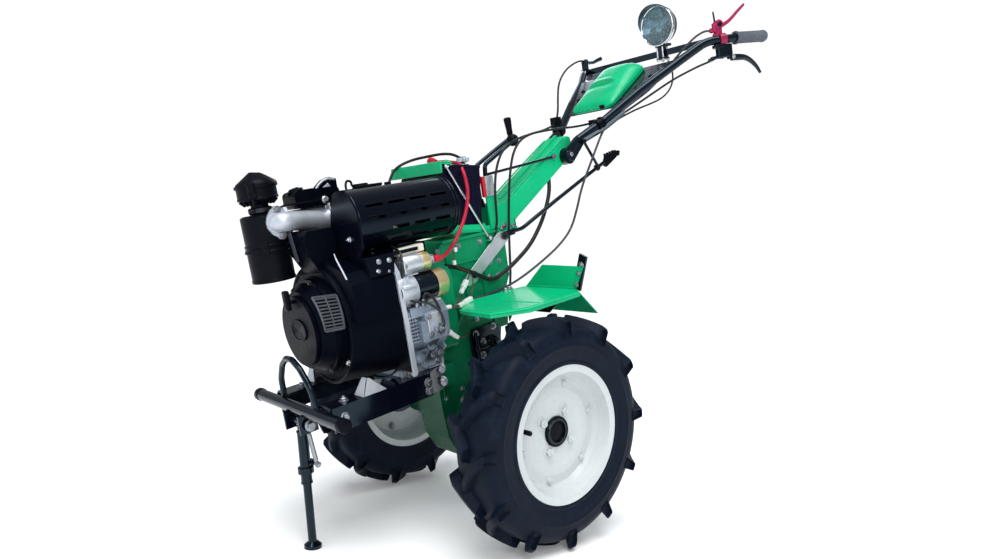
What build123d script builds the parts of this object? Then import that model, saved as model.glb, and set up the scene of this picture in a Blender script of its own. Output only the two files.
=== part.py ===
from build123d import *
import math
import os

# Power tiller: a two-wheel walking tractor with a single-cylinder diesel engine in front.
# Every piece is drawn in the machine's own frame: +X forward, +Y to the machine's left,
# +Z up from the ground, wheel axle on the line x = 0, z = AXLE_Z, frame rails level.
# The parked machine then leans nose-down by TILT about the axle, on to its front stand,
# and the whole is moved by X_SHIFT so that the origin is the bottom centre of its box.

# ---------------------------------------------------------------- driving dimensions (mm)
AXLE_Z = 290.0          # axle height, and tyre radius over the lugs
TILT = 13.04            # nose-down lean when parked on the front stand, degrees
X_SHIFT = 166.48        # axle position ahead of the box's middle

TRACK_HALF = 344.0      # wheel centre plane from the middle plane
RIM_R = 169.5           # rim flange radius of a 12-inch rim
RIM_SEAT_R = 152.4      # bead seat radius
RIM_HALF = 59.0         # half the width over the rim flanges
RIM_T = 3.5             # rim plate thickness
DISC_IN = 14.0          # disc outer face, outboard of the wheel centre plane
TYRE_R = 290.0          # tyre radius over the lugs
TYRE_HALF = 66.0        # half the tyre's section width
RIM_BOLT_R = 119.0      # circle of the six rim bolts
HUB_BOLT_R = 54.0       # circle of the four hub bolts
HUB_BOLT_HOLE_R = 6.5
CAP_R = 34.0            # hub cap radius

RAIL_Z = 474.0          # top of the frame rails
RAIL_Y = 145.0          # outer face of the rails
RAIL_LEG = 58.0         # leg of the rail's angle section
RAIL_T = 5.0
TUBE_X = 485.0          # front cross tube
TUBE_Z = 457.0
TUBE_R = 15.0
TUBE_HALF = 230.0

CRANK_Z = 636.0         # crankshaft height
HOUSING_R = 172.0       # blower housing
GUARD_R = 75.0          # muffler guard
GUARD_FLAT = 34.0        # flat far side of the muffler guard
GUARD_Y = 80.0
GUARD_Z = 871.0

STAND_X = 484.0         # stand pivot
STAND_Z = 424.0
FOOT_X = 517.0          # stand foot, on the ground
PIVOT_X = -491.0        # handlebar pivot
PIVOT_Z = 948.0
GRIP_Z = 1243.0
BAR_R = 14.0            # handlebar tube radius
GRIP_R = 17.5
PIN_GAP = 0.05          # running clearance of pins

# ---------------------------------------------------------------- helpers
PARTS = {}


def V(p):
    return Vector(*p)


def box(x0, x1, y0, y1, z0, z1):
    return Pos((x0 + x1) / 2, (y0 + y1) / 2, (z0 + z1) / 2) * Box(x1 - x0, y1 - y0, z1 - z0)


def rod(p, q, r, r2=None):
    p, q = V(p), V(q)
    d = q - p
    pl = Plane(origin=p, z_dir=d)
    if r2 is None:
        s = Cylinder(r, d.length, align=(Align.CENTER, Align.CENTER, Align.MIN))
    else:
        s = Cone(r, r2, d.length, align=(Align.CENTER, Align.CENTER, Align.MIN))
    return pl * s


def cyl_x(x0, x1, y, z, r):
    return rod((x0, y, z), (x1, y, z), r)


def cyl_y(y0, y1, x, z, r):
    return rod((x, y0, z), (x, y1, z), r)


def cyl_z(z0, z1, x, y, r):
    return rod((x, y, z0), (x, y, z1), r)


def poly(pts):
    return Face(Wire.make_polygon([V(p) for p in pts], close=True))


def prism_y(pts, y0, y1):
    return extrude(poly([(x, y0, z) for x, z in pts]), amount=y1 - y0, dir=(0, 1, 0))


def prism_x(pts, x0, x1):
    return extrude(poly([(x0, y, z) for y, z in pts]), amount=x1 - x0, dir=(1, 0, 0))


def prism_z(pts, z0, z1):
    return extrude(poly([(x, y, z0) for x, y in pts]), amount=z1 - z0, dir=(0, 0, 1))


def prism_dir(pts, vec):
    d = V(vec)
    return extrude(poly(pts), amount=d.length, dir=d.normalized())


def bend_path(pts, radii):
    if len(pts) == 2:
        return Line(V(pts[0]), V(pts[1]))
    return FilletPolyline(*[V(p) for p in pts], radius=radii)


def tube(pts, radii, r):
    path = bend_path(pts, radii)
    d = V(pts[1]) - V(pts[0])
    return sweep(Plane(origin=V(pts[0]), z_dir=d) * Circle(r), path=path)


def auto_radii(pts):
    """Largest tangent arcs that the runs leave room for."""
    out = []
    for a, b, c in zip(pts, pts[1:], pts[2:]):
        u, w = V(b) - V(a), V(c) - V(b)
        turn = u.get_angle(w)
        out.append(0.45 * min(u.length, w.length) / math.tan(math.radians(turn / 2)))
    return out


CORDS = {}


def cord(name, pts, r):
    radii = auto_radii(pts)
    s = tube(pts, radii, r)
    length = bend_path(pts, radii).length
    ideal = math.pi * r * r * length
    CORDS[name] = (pts, r, length)
    print(f"cord {name}: length {length:.0f} mm, radii {[round(v) for v in radii]}, "
          f"volume ratio {s.volume / ideal:.4f}")
    return s


def fillet_safe(s, edges, r):
    try:
        return fillet(edges, r)
    except Exception:
        print("fillet left out", r)
        return s


def rounded(s, r, axis=None):
    e = s.edges()
    if axis is not None:
        e = e.filter_by(axis)
    return fillet_safe(s, e, r)


def add(name, *shapes):
    PARTS[name] = list(shapes)


# ---------------------------------------------------------------- wheels
def wheel(side):
    """Pieces of one wheel on the axle line; side is +1 for left, -1 for right."""
    def at(s):                      # y of a plane s outboard of the wheel centre plane
        return side * (TRACK_HALF + s)

    def turned(pts):                # closed profile in (s, radius), turned about the axle
        f = poly([(0, at(s), AXLE_Z + r) for s, r in pts])
        return revolve(f, axis=Axis((0, 0, AXLE_Z), (0, 1, 0)), revolution_arc=360)

    # Tyre: outer envelope over the lugs, carcass 11 mm thick, open to the rim well
    outer = [(-49, 152.9), (-54.8, 158.5), (-55.4, 170.2), (-61, 186), (-65, 204), (-66, 220), (-65.4, 240), (-62, 262),
             (-60, 278), (-50, 285), (-28, 289), (0, 290), (28, 289), (50, 285), (60, 278),
             (62, 262), (65.4, 240), (66, 220), (65, 204), (61, 186), (55.4, 170.2), (54.8, 158.5), (49, 152.9)]
    inner = [(38, 152.2), (41, 168), (50, 192), (54, 216), (53.4, 240), (48, 258), (30, 264),
             (0, 266), (-30, 264), (-48, 258), (-53.4, 240), (-54, 216), (-50, 192), (-41, 168), (-38, 152.2)]
    tyre = turned(outer + inner)

    # Rim: rolled flanges, bead seats, drop centre and the dished disc, in one pressing
    t = RIM_T
    a = RIM_HALF
    rim_out = [(a, RIM_R), (a, RIM_R - 3), (a - 2, 152.4), (a - 8, 150.6), (DISC_IN + 26, 147), (DISC_IN + 12, 141),
               (DISC_IN, 132), (DISC_IN, 126), (DISC_IN + 3, 108), (DISC_IN + 3, 92), (DISC_IN, 74),
               (DISC_IN, 26.1),
               (DISC_IN - t, 26.1), (DISC_IN - t, 74), (DISC_IN - 1, 92), (DISC_IN - 1, 108),
               (DISC_IN - t, 126), (DISC_IN - t, 133), (2, 141), (-20, 147), (-a + 8, 150.6), (-a + 2, 152.4),
               (-a, RIM_R - 3), (-a, RIM_R), (-a - 0.01 + t, RIM_R), (-a + t, 156.2), (-a + t + 5, 152.9),
               (-20, 150.8), (4, 145), (DISC_IN + 2, 140), (DISC_IN + 10, 145), (DISC_IN + 26, 150.8),
               (a - t - 5, 152.9), (a - t, 156.2), (a - t, RIM_R)]
    # the bead seats lie under the tyre's beads, 0.05 mm clear of them
    rim = turned(rim_out)
    for k in range(4):
        ang = math.radians(40 + 90 * k)
        hx, hz = HUB_BOLT_R * math.cos(ang), AXLE_Z + HUB_BOLT_R * math.sin(ang)
        rim -= cyl_y(at(-5) if side > 0 else at(30), at(30) if side > 0 else at(-5), hx, hz, HUB_BOLT_HOLE_R)

    # Hub: sleeve on the axle, flange against the disc, spigot and cap through it, four bolts
    hub = turned([(46.2 - TRACK_HALF, 0), (46.2 - TRACK_HALF, 24), (-70, 24), (-60, 30), (-8, 34), (0, 40),
                  (0, 72), (DISC_IN - t, 72), (DISC_IN - t, 26.0), (DISC_IN, 26.0),
                  (DISC_IN, CAP_R), (DISC_IN + 6, CAP_R), (DISC_IN + 8, CAP_R - 2), (DISC_IN + 8, CAP_R - 7),
                  (DISC_IN - 4, CAP_R - 11), (DISC_IN - 4, 0)])
    for k in range(4):
        ang = math.radians(40 + 90 * k)
        hx, hz = HUB_BOLT_R * math.cos(ang), AXLE_Z + HUB_BOLT_R * math.sin(ang)
        y0, y1 = sorted((at(DISC_IN - t - 2), at(DISC_IN + 10)))
        hub += cyl_y(y0, y1, hx, hz, 5.0)
        y0, y1 = sorted((at(DISC_IN), at(DISC_IN + 7)))
        hub += Pos(hx, (y0 + y1) / 2, hz) * (Rot(90, 0, 0) * extrude(RegularPolygon(10, 6), amount=3.5, both=True))
    n = "left" if side > 0 else "right"
    add(n + "_tyre", tyre)
    add(n + "_rim", rim)
    add(n + "_hub", hub)


wheel(1)
wheel(-1)

# ---------------------------------------------------------------- gearbox
def obox(center, dx, size):
    """Box of size (along dx, across, up) standing upright, its long side along dx."""
    pl = Plane(origin=V(center), x_dir=V((dx[0], dx[1], 0)), z_dir=(0, 0, 1))
    return pl * Box(*size)


def turn_y(s, deg, x, z):
    return Pos(x, 0, z) * Rot(0, deg, 0) * Pos(-x, 0, -z) * s


# Lower case around the axle, cut hollow like the casting it is
low_out = prism_y([(60, 560), (60, 499.9), (118, 499.9), (118, 330), (112, 250), (85, 190), (40, 166), (-30, 168),
                   (-85, 200), (-112, 250), (-118, 330), (-120, 470), (-142, 560)], -56, 56)
low_out = fillet_safe(low_out, low_out.edges().filter_by(Axis.Y).filter_by(lambda e: e.center().Z < 480), 14)
low_in = prism_y([(52, 552), (52, 490), (106, 490), (106, 330), (98, 255), (74, 200), (36, 180), (-28, 182),
                  (-74, 208), (-98, 258), (-106, 330), (-108, 470), (-128, 552)], -46, 46)
case = low_out
for s in (1, -1):
    case += cyl_y(min(s * 50, s * 68), max(s * 50, s * 68), 0, AXLE_Z, 62)
# ears on which the frame rails are bolted
case += box(84, 118, -92, 92, 404, 462)
case -= low_in
case -= box(60, 106, -46, 46, 400, 466)
for s in (1, -1):
    case -= cyl_y(min(s * 40, s * 70), max(s * 40, s * 70), 0, AXLE_Z, 24.0 + PIN_GAP)
add("gearbox_case", case)

# Upper case: speed-change box, and the clutch bell to the engine
up_out = prism_y([(60, 560), (60, 742), (30, 776), (-110, 776), (-188, 768), (-186, 640), (-142, 560)], -56, 56)
up_out = fillet_safe(up_out, up_out.edges().filter_by(Axis.Y).filter_by(lambda e: e.center().Z > 600), 12)
up_in = prism_y([(50, 572), (50, 738), (26, 766), (-104, 766), (-178, 758), (-176, 646), (-136, 572)], -46, 46)
up = up_out - up_in
add("gearbox_upper", up)

bell = prism_x([(-96, 500), (96, 500), (112, 560), (112, 700), (80, 744), (-80, 744), (-112, 700), (-112, 560)], 60.0, 118.0)
bell = rounded(bell, 16, Axis.X)
bell -= cyl_x(70, 108, 0, CRANK_Z, 92)

# ---------------------------------------------------------------- engine
# Crankcase block: cast aluminium, wide base flange, tapering walls, injection pump on its side
ST_Y, ST_Z = 141.0, 690.0
crank = prism_x([(-100, 476), (100, 476), (100, 490), (84, 500), (150, 560), (154, 618), (138, 644), (108, 660), (104, 752),
                 (-104, 752), (-140, 720), (-158, 640), (-150, 560), (-84, 500), (-100, 490)], 118.0, 256.0)
crank += rounded(box(150, 222, 140, 182, 562, 612), 5, Axis.Y)
crank += cyl_y(182, 192, 176, 588, 14)
crank -= cyl_x(100, 270, ST_Y, ST_Z, 37.5)
add("engine_block", crank)

# Blower housing: tapered drum about the crankshaft, with the air duct rising to the cylinder
hous = rod((256, 0, CRANK_Z), (386, 0, CRANK_Z), HOUSING_R, HOUSING_R - 24)
hous += prism_x([(-150, 650), (170, 650), (168, 738), (150, 764), (60, 790), (-44, 790), (-84, 764), (-140, 710)], 256, 378)
hous += prism_y([(335, 760), (386, 766), (410, 812), (410, 858), (402, 868), (343, 868), (335, 860)], -40, 50)
hous += prism_x([(60, 500), (172, 500), (172, 652), (60, 652)], 256, 264)
hous -= box(240, 400, -200, 200, 440, 500)
add("blower_housing", hous)

# Recoil starter: stepped round cover, pull handle
rec = cyl_x(386, 408, 0, CRANK_Z, 118)
rec += rod((408, 0, CRANK_Z), (436, 0, CRANK_Z), 110, 94)
rec += cyl_x(436, 446, 0, CRANK_Z, 85)
rec -= hous
add("recoil_starter", rec)
handle = rounded(box(452, 466, -13, 6, 690, 738), 5)
handle += rod((446, -3, 706), (454, -3, 712), 4)
handle -= rec
add("recoil_handle", handle)

# Cylinder, head and rocker cover: closed blocks in the middle of the engine's top
head = box(120, 255.9, -100, 104, 752, 794)
head += box(120, 278, -125, 0, 794, 928)
head = fillet_safe(head, head.edges().filter_by(Axis.Z).filter_by(lambda e: e.length > 60), 10)
head += rounded(box(250, 372, -112, -42, 919, 962), 12, Axis.Y)

# Air cleaner: oil-bath body, neck, pre-cleaner bowl, and the cast elbow to the head
AX, AY = 442.0, -90.0
elbow = cyl_x(289, 400, -72, 893, 25)
elbow += prism_x([(-104, 852), (-66, 852), (-46, 872), (-46, 908), (-62, 929), (-104, 929), (-114, 912), (-114, 868)], 389, 398)
elbow += rounded(box(278, 289, -102, -40, 859, 921), 8, Axis.X)
body = cyl_z(758, 915, AX, AY, 51) + cyl_z(831, 838, AX, AY, 54) + cyl_z(912, 920, AX, AY, 45)
elbow -= body
head -= elbow
head -= body
head -= cyl_x(30, 322, GUARD_Y, GUARD_Z, GUARD_R + 0.5)
head -= hous
add("cylinder_head", head)
add("intake_elbow", elbow)
add("air_cleaner_body", body)
pre = cyl_z(920, 946, AX, AY, 21) + rod((AX, AY, 944), (AX, AY, 958), 28, 46) + cyl_z(958, 988, AX, AY, 47)
pre += rod((AX, AY, 988), (AX - 6, AY, 1019), 46, 16)
add("air_precleaner", pre)

# Fuel tank on the far side, with its cap
tank = rounded(box(44, 286, -226, -128, 790, 947), 26)
tank -= head
add("fuel_tank", tank, cyl_z(947, 955, 112, -176, 18))

# Muffler inside its guard: hollow drum with an outlet behind and a flange pipe down to the head
MUF_Y = 90.0
muf = cyl_x(60, 296, MUF_Y, GUARD_Z, 48) - cyl_x(62, 294, MUF_Y, GUARD_Z, 46) - cyl_x(55, 63, MUF_Y, GUARD_Z, 14)
muf += cyl_z(794, 828, 180, GUARD_Y, 20) - cyl_z(790, 824, 180, GUARD_Y, 17)
add("muffler", muf)
# the guard's far side is flat, beside the cylinder head
g = cyl_x(30, 322, GUARD_Y, GUARD_Z, GUARD_R) - box(0, 400, -50, GUARD_FLAT, 700, 1000)
g -= cyl_x(32, 320, GUARD_Y, GUARD_Z, GUARD_R - 2) - box(0, 400, -50, GUARD_FLAT + 2, 700, 1000)
g -= cyl_z(780, GUARD_Z, 180, GUARD_Y, 24)
for ang, ks in ((27, (0, 1, 2, 3)), (4, (0, 1, 2, 3)), (-20, (1, 2, 3)), (-46, (1, 2, 3))):
    a = math.radians(ang)
    for k in ks:
        xc = 271 - k * 62
        g -= Pos(xc, GUARD_Y + GUARD_R * math.cos(a), GUARD_Z + GUARD_R * math.sin(a)) * (Rotation(ang, 0, 0) * Box(46, 12, 7))
plate = prism_x([(22, 806), (21, 826), (25, 858), (36, 893), (47, 916), (59, 932), (76, 943), (95, 949), (114, 949), (136, 934), (160, 898),
                 (160, 812), (140, 790), (92, 786), (50, 797), (32, 800)], 323, 328)
plate += box(180, 328, 106, 160, 782, 790)
plate += box(323, 328, 106, 140, 784, 800)
plate -= hous
add("muffler_guard", g, plate)

# Starter motor and solenoid on the near side
st = cyl_x(200, 255.9, ST_Y, ST_Z, 36) + cyl_x(130, 200, ST_Y, ST_Z, 34) + cyl_x(118, 130, ST_Y, ST_Z, 32)
st -= hous
add("starter_motor", st)
bell -= st
add("clutch_bell", bell)
so = cyl_x(180, 232, 150, 751, 24) + cyl_x(155, 180, 150, 751, 22) + cyl_x(138, 155, 150, 751, 9)
so += box(190, 222, 132, 158, 724.5, 732)
so -= st
add("starter_solenoid", so)

# ---------------------------------------------------------------- battery and tray, leaning back
BLEAN = -7.5
BX, BZ = -126.0, 873.0
tray = box(-134, 8, -148, 56, 776, 781) + box(-134, -129.2, -148, 56, 781, 800) + box(4.2, 8, -148, 56, 781, 800)
tray = turn_y(tray, BLEAN, BX, BZ)
tray += box(-112, -24, -120, 40, 776, 788) + box(-146, -118, 44, 50, 748, 790) + box(-146, -118, 44, 68, 748, 753)
bat = rounded(box(-129, 4, -144, 53, 781.05, 960), 4, Axis.Z)
bat += cyl_z(960, 984, -86, 28, 9) + cyl_z(960, 984, -86, -115, 9)
bat = turn_y(bat, BLEAN, BX, BZ)
bar = box(-20, 12, -175, 62, 960.05, 964) + box(8.2, 12, -175, 62, 938, 964)
bar += cyl_z(952, 972, -8, 59.5, 3.5) + cyl_z(952, 972, -8, -160, 3.5)
bar = turn_y(bar, BLEAN, BX, BZ)
bar -= bat
tray -= bat
bar += rod((-20, 59.5, 963), (-128, 59.5, 756), 3.5) + rod((-20, -160, 963), (-128, -160, 756), 3.5)
bar -= tank
tray += box(-146, -118, -172, -140, 748, 753) + box(-146, -118, -140, -134, 748, 790)
tray -= bat
tray -= bar
tray -= up
add("battery_tray", tray)
add("battery", bat)
add("battery_clamp_bar", bar)

# ---------------------------------------------------------------- frame
rail = prism_x([(RAIL_Y, RAIL_Z), (RAIL_Y, RAIL_Z - RAIL_LEG), (RAIL_Y - RAIL_T, RAIL_Z - RAIL_LEG),
                (RAIL_Y - RAIL_T, RAIL_Z - RAIL_T), (RAIL_Y - RAIL_LEG, RAIL_Z - RAIL_T), (RAIL_Y - RAIL_LEG, RAIL_Z)],
               196, 469)
web = prism_z([(196, RAIL_Y), (196, RAIL_Y - RAIL_LEG), (118, 60), (118, 92), (130, 104)], RAIL_Z - RAIL_T, RAIL_Z)
web2 = prism_dir([(196, RAIL_Y, 416), (118, 92, 404), (118, 92, RAIL_Z), (196, RAIL_Y, RAIL_Z)], (0, -5, 0))
left_rail = rail + web + web2
add("frame_rails", left_rail, mirror(left_rail, about=Plane.XZ))
ctube = cyl_y(-TUBE_HALF, TUBE_HALF, TUBE_X, TUBE_Z, TUBE_R)
add("front_cross_tube", ctube)

# Guard hoop in front of the starter: one bent tube with two legs on the cross tube
hoop_pts = [(477, 88, 464), (480, 78, 520), (482, 48, 560), (483, 16, 579), (483, -16, 579), (482, -48, 560), (480, -78, 520), (477, -88, 464)]
hoop = tube(hoop_pts, [50, 40, 24, 24, 40, 50], 7.5) - ctube
add("front_guard_hoop", hoop)

# Stand bracket under the cross tube
br = box(462, 508, -42, -36, 404, 450) + box(462, 508, 36, 42, 404, 450) + box(462, 486, -42, 42, 436.5, 441.5)
br -= cyl_y(-50, 50, STAND_X, STAND_Z, 6.0 + PIN_GAP)
br -= ctube
add("stand_bracket", br)

# ---------------------------------------------------------------- front stand (turns on the bracket's bolt)
leg_top = V((STAND_X, 0, STAND_Z))
foot = V((FOOT_X, 0, 116.0))
leg_dir = (foot - leg_top).normalized()
pin = cyl_y(-50, 50, STAND_X, STAND_Z, 6.0) + cyl_y(42.3, 50, STAND_X, STAND_Z, 10) + cyl_y(-50, -42.3, STAND_X, STAND_Z, 10)
eye = cyl_y(-17, 17, STAND_X, STAND_Z, 11.5)
leg = eye + rod(leg_top, foot, 10) + rod(leg_top + leg_dir * 22, leg_top + leg_dir * 150, 13)
leg += rod(leg_top + leg_dir * 112, leg_top + leg_dir * 126, 18)
leg += cyl_y(-31, 31, 477, 318, 4) + box(474, 495, -7, 7, 311, 325)
leg += pin
add("stand_leg", leg)
# return springs on both sides, drawn as their closed outside
SPR = [((483, y, 417.4), (477.2, y, 322.6)) for y in (25, -25)]
add("stand_springs", *[rod(a, b, 5.5) - pin - leg for a, b in SPR])


# ---------------------------------------------------------------- fenders
def fender(side):
    top = prism_z([(-5, 89), (87, 162), (94, 288), (20, 350), (-150, 356), (-183, 316), (-183, 115)], 604, 607.5)
    flap = prism_dir([(-150, 356, 607.5), (-183, 316, 607.5), (-216, 350, 537)], (3.0, -1.5, 0.5))
    upr = prism_x([(120, 605), (312, 605), (349, 667), (200, 670)], -186, -182.5)
    flap += prism_dir([(-183, 316, 607.5), (-183, 140, 607.5), (-216, 140, 537), (-216, 350, 537)], (2.7, 0, -1.3))
    lip = prism_dir([(94, 288, 607.5), (20, 350, 607.5), (20, 350, 597), (94, 288, 597)], (-1.9, -2.3, 0))
    lip2 = prism_dir([(20, 350, 607.5), (-150, 356, 607.5), (-150, 356, 597), (20, 350, 597)], (0.1, -3.0, 0))
    lip3 = prism_dir([(87, 162, 607.5), (94, 288, 607.5), (94, 288, 597), (87, 162, 597)], (-3.0, 0.1, 0))
    s = top + flap + upr + lip + lip2 + lip3 + box(-165, -120, 56, 118, 600, 604) + box(20, 50, 56, 128, 600, 604)
    return s if side > 0 else mirror(s, about=Plane.XZ)


add("left_fender", fender(1))
add("right_fender", fender(-1))
stay = prism_x([(324, 600), (361, 690), (338, 700), (301, 610)], -192, -186.1)
stay -= fender(1)
add("fender_stays", stay, mirror(stay, about=Plane.XZ))

# Rear hitch: box section behind the gearbox, with its pin hole
hitch = box(-250, -118, -34, 34, 250, 330) - box(-260, -130, -24, 24, 260, 320)
hitch -= case
hitch -= cyl_z(240, 340, -215, 0, 11)
add("rear_hitch", hitch)

# ---------------------------------------------------------------- column, levers
cw = 43.0
col = prism_y([(-176, 777), (-246, 785), (-476, 921), (-520, 938), (-534, 960), (-526, 1004), (-508, 1009.5), (-232, 848.4), (-176, 836)], -cw, cw)
col = fillet_safe(col, col.edges().filter_by(lambda e: e.center().Z > 845 and abs(e.center().Y) > cw - 0.1 and abs(e.center().Z - 928) < 12), 8)
col -= prism_y([(-170, 700), (-244, 791), (-474, 927), (-516, 943), (-528, 962), (-521, 1000), (-508, 1003.5), (-230, 842.4), (-170, 829)], -cw + 4, cw - 4)
col += prism_y([(-508, 1009), (-240, 852.6), (-240, 856), (-508, 1016)], -6, 6)
col += cyl_y(-46, 46, PIVOT_X, PIVOT_Z, 24)
col += box(-250, -176, -cw, cw, 776, 785)
col -= cyl_y(-70, 70, PIVOT_X, PIVOT_Z, 9.0 + PIN_GAP)
col -= up
brk = box(-180, -150, 44, 49, 790, 868) + box(-180, -150, 43, 49, 777, 792) + box(-182, -146, 42, 51, 868, 926)
brk += box(-182, -146, 30, 49, 777, 781)
brk -= up
brk -= col
brk -= tray
brk -= bat
add("steering_column", col, brk)

# Gear levers: stem with rubber boot on the column, bent lever, ball or tapered hand grip
l1 = tube([(-184, 20, 836), (-182, 20, 930), (-186, 20, 958), (-232, 20, 980), (-292, 20, 1008)], [40, 16, 80], 6.5)
l1 += Pos(-306, 20, 1017) * Sphere(17)
l2 = tube([(-184, -20, 836), (-182, -20, 930), (-186, -20, 958), (-250, -20, 988), (-330, -20, 1024), (-336, -20, 1040)], [40, 16, 80, 12], 6.0)
l2 += rod((-336, -20, 1038), (-333, -20, 1084), 8.5, 11)
add("gear_levers", l1 - col, l2 - col)
lk = rod((-158, 47.5, 930.2), (-440, 47.5, 951), 4.0) + cyl_y(43, 50, -440, 951, 6)
lk -= col
lk -= brk

# Long shift rod on the near side, cranked at its front end, with a flat pad behind
lv = tube([(-205, 70, 760), (-250, 70, 763), (-400, 70, 821), (-560, 70, 880), (-640, 70, 909)], [60, 400, 400], 6)
lv += prism_y([(-636, 900), (-652, 928), (-700, 938), (-722, 937), (-722, 925), (-700, 921), (-650, 898)], 67, 73)
lv += prism_y([(-216, 752), (-168, 748), (-166, 763), (-216, 769)], 68.05, 74)
add("control_rods", lk, lv)
bb = prism_dir([(-188, 62, 746), (-176, 62, 766), (-50, 62, 687), (-62, 62, 667)], (0, 6, 0)) + cyl_y(56, 62, -176, 752, 9) + cyl_y(56, 62, -62, 680, 9)
bb -= lv
bb -= up
add("brace_bar", bb)

# ---------------------------------------------------------------- handlebar (turns on the column's cross bolt)
near = [(PIVOT_X, 56, PIVOT_Z), (-535, 64, 990), (-635, 92, 1036), (-765, 150, 1117), (-904, 215, 1194), (-985, 265, 1242), (-1065, 315, GRIP_Z), (-1202, 343.5, GRIP_Z)]
radii = [60, 260, 260, 260, 110, 150]
nb = tube(near, radii, BAR_R)
bore_ = tube(near, radii, BAR_R - 2.6)
hubr = cyl_y(47, 66, PIVOT_X, PIVOT_Z, 26)
solid_arm = nb + hubr
left_arm = (nb - bore_) + (hubr - cyl_y(40, 70, PIVOT_X, PIVOT_Z, 9.0)) - cyl_y(40, 70, PIVOT_X, PIVOT_Z, 9.0) - cyl_y(66, 80, PIVOT_X, PIVOT_Z, 15.0)
left_arm -= col
right_arm = mirror(left_arm, about=Plane.XZ)
add("handlebar_left_arm", max(left_arm.solids(), key=lambda s: s.volume))
add("handlebar_right_arm", max(right_arm.solids(), key=lambda s: s.volume))
add("pivot_bolt", cyl_y(-74, 74, PIVOT_X, PIVOT_Z, 9.0) + cyl_y(66, 74, PIVOT_X, PIVOT_Z, 15) + cyl_y(-74, -66, PIVOT_X, PIVOT_Z, 15))
right_solid = mirror(solid_arm, about=Plane.XZ)


def middle(s):
    """The piece of s nearest the middle plane, once the arms have cut it."""
    ss = s.solids()
    return min(ss, key=lambda q: abs(q.center().Y)) if len(ss) > 1 else s


xb = middle(box(-1003, -997, -268, 268, 1233, 1254) - solid_arm - right_solid)
add("handlebar_crossbar", xb)

# Plate between the arms, and the moulded tool box on it
ux, uz = -0.857, 0.515           # along the arms, rearward and up
nx, nz = 0.515, 0.857            # square to the arms, forward and up


def arm_pt(s, n, y):
    return (-620 + ux * s + nx * n, y, 1030 + uz * s + nz * n)


pl = prism_dir([arm_pt(85, 1, -112), arm_pt(85, 1, 112), arm_pt(322, 1, 208), arm_pt(322, 1, -208)], (nx * 3, 0, nz * 3))
pl = middle(pl - solid_arm - right_solid)
add("toolbox_plate", pl)
side = []
for s_, n_ in ((88, 4.05), (88, 14), (94, 22), (106, 29), (130, 33), (170, 38), (216, 44), (250, 47.5), (285, 49), (300, 45), (311, 38), (318, 30), (318, 4.05)):
    p_ = arm_pt(s_, n_, 0)
    side.append((p_[0], p_[2]))
tb = prism_y(side, -87, 87)
dome = [(87, 4.05), (87, 15), (83, 23), (74, 31), (60, 38.5), (42, 44.5), (20, 48.5), (0, 49.5)]
dome += [(-y_, n_) for y_, n_ in dome[-2::-1]]
tb = tb & prism_dir([arm_pt(80, n_, y_) for y_, n_ in dome], (ux * 250, 0, uz * 250))
add("toolbox", tb)

# Headlamp on the crossbar
LAMP_Y, LAMP_Z = 85.0, 1334.0
lamp = rod((-1044, LAMP_Y, LAMP_Z), (-1030, LAMP_Y, LAMP_Z), 36, 60) + cyl_x(-1030, -990, LAMP_Y, LAMP_Z, 64)
lamp = fillet_safe(lamp, lamp.edges().filter_by(GeomType.CIRCLE).filter_by(lambda e: e.center().X < -1040), 5)
clamp = box(-1012, -988, 73, 97, 1222, 1232.9) + box(-1012, -1003.2, 73, 97, 1232, 1256) + box(-996.8, -988, 73, 97, 1232, 1256)
clamp += box(-1012, -988, 73, 97, 1254.1, 1262) + cyl_z(1262, 1290, -1004, LAMP_Y, 8)
clamp -= lamp
clamp -= xb
add("headlamp", lamp)
add("headlamp_clamp", clamp)


# Grips
def along(p, q, s):
    d = (V(q) - V(p)).normalized()
    return V(p) + d * s


g0, g1 = near[6], near[7]
gr = rod(along(g0, g1, 14), along(g0, g1, 146), GRIP_R) - solid_arm
gr = max(gr.solids(), key=lambda s: s.volume)
add("grips", gr, mirror(gr, about=Plane.XZ))

# Throttle on the near bar; hand lever under the near grip and another over the far one
th_ = rod((-1018, 285.6, 1242.4), (-1046, 303.1, 1242.8), 24) + obox((-1022, 287, 1283), (-80, 50), (30, 14, 44))
th_ += tube([(-1030, 291, 1276), (-1100, 296, 1306), (-1181, 294, 1352)], [60], 4.5)
th_ -= solid_arm
th_ -= xb
th_ = max(th_.solids(), key=lambda s: s.volume)
add("throttle_lever", th_)
ll = obox((-1034, 295.5, 1204), (-80, 50), (56, 20, 44))
ll += tube([(-1010, 284, 1190), (-1050, 308, 1183), (-1098, 324, 1174), (-1150, 333, 1122)], [30, 40], 6)
ll -= th_
ll -= solid_arm
rb = obox((-1050, -306, 1276), (-80, -50), (56, 22, 52)) - right_solid
rb += tube([(-1060, -312, 1290), (-1110, -324, 1290), (-1180, -334, 1306)], [60], 5)
rb -= gr.mirror(Plane.XZ)
rb -= right_solid
ll -= gr
add("hand_levers", max(ll.solids(), key=lambda s: s.volume), max(rb.solids(), key=lambda s: s.volume))

# Strut hanging from the near arm beside the shift rod
sst = rod((-541, 86, 984), (-595, 86, 897), 4.5) + cyl_y(70, 91, -541, 984, 7)
sst -= solid_arm
sst = max(sst.solids(), key=lambda s: s.volume)
add("rod_strut", sst)

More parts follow.
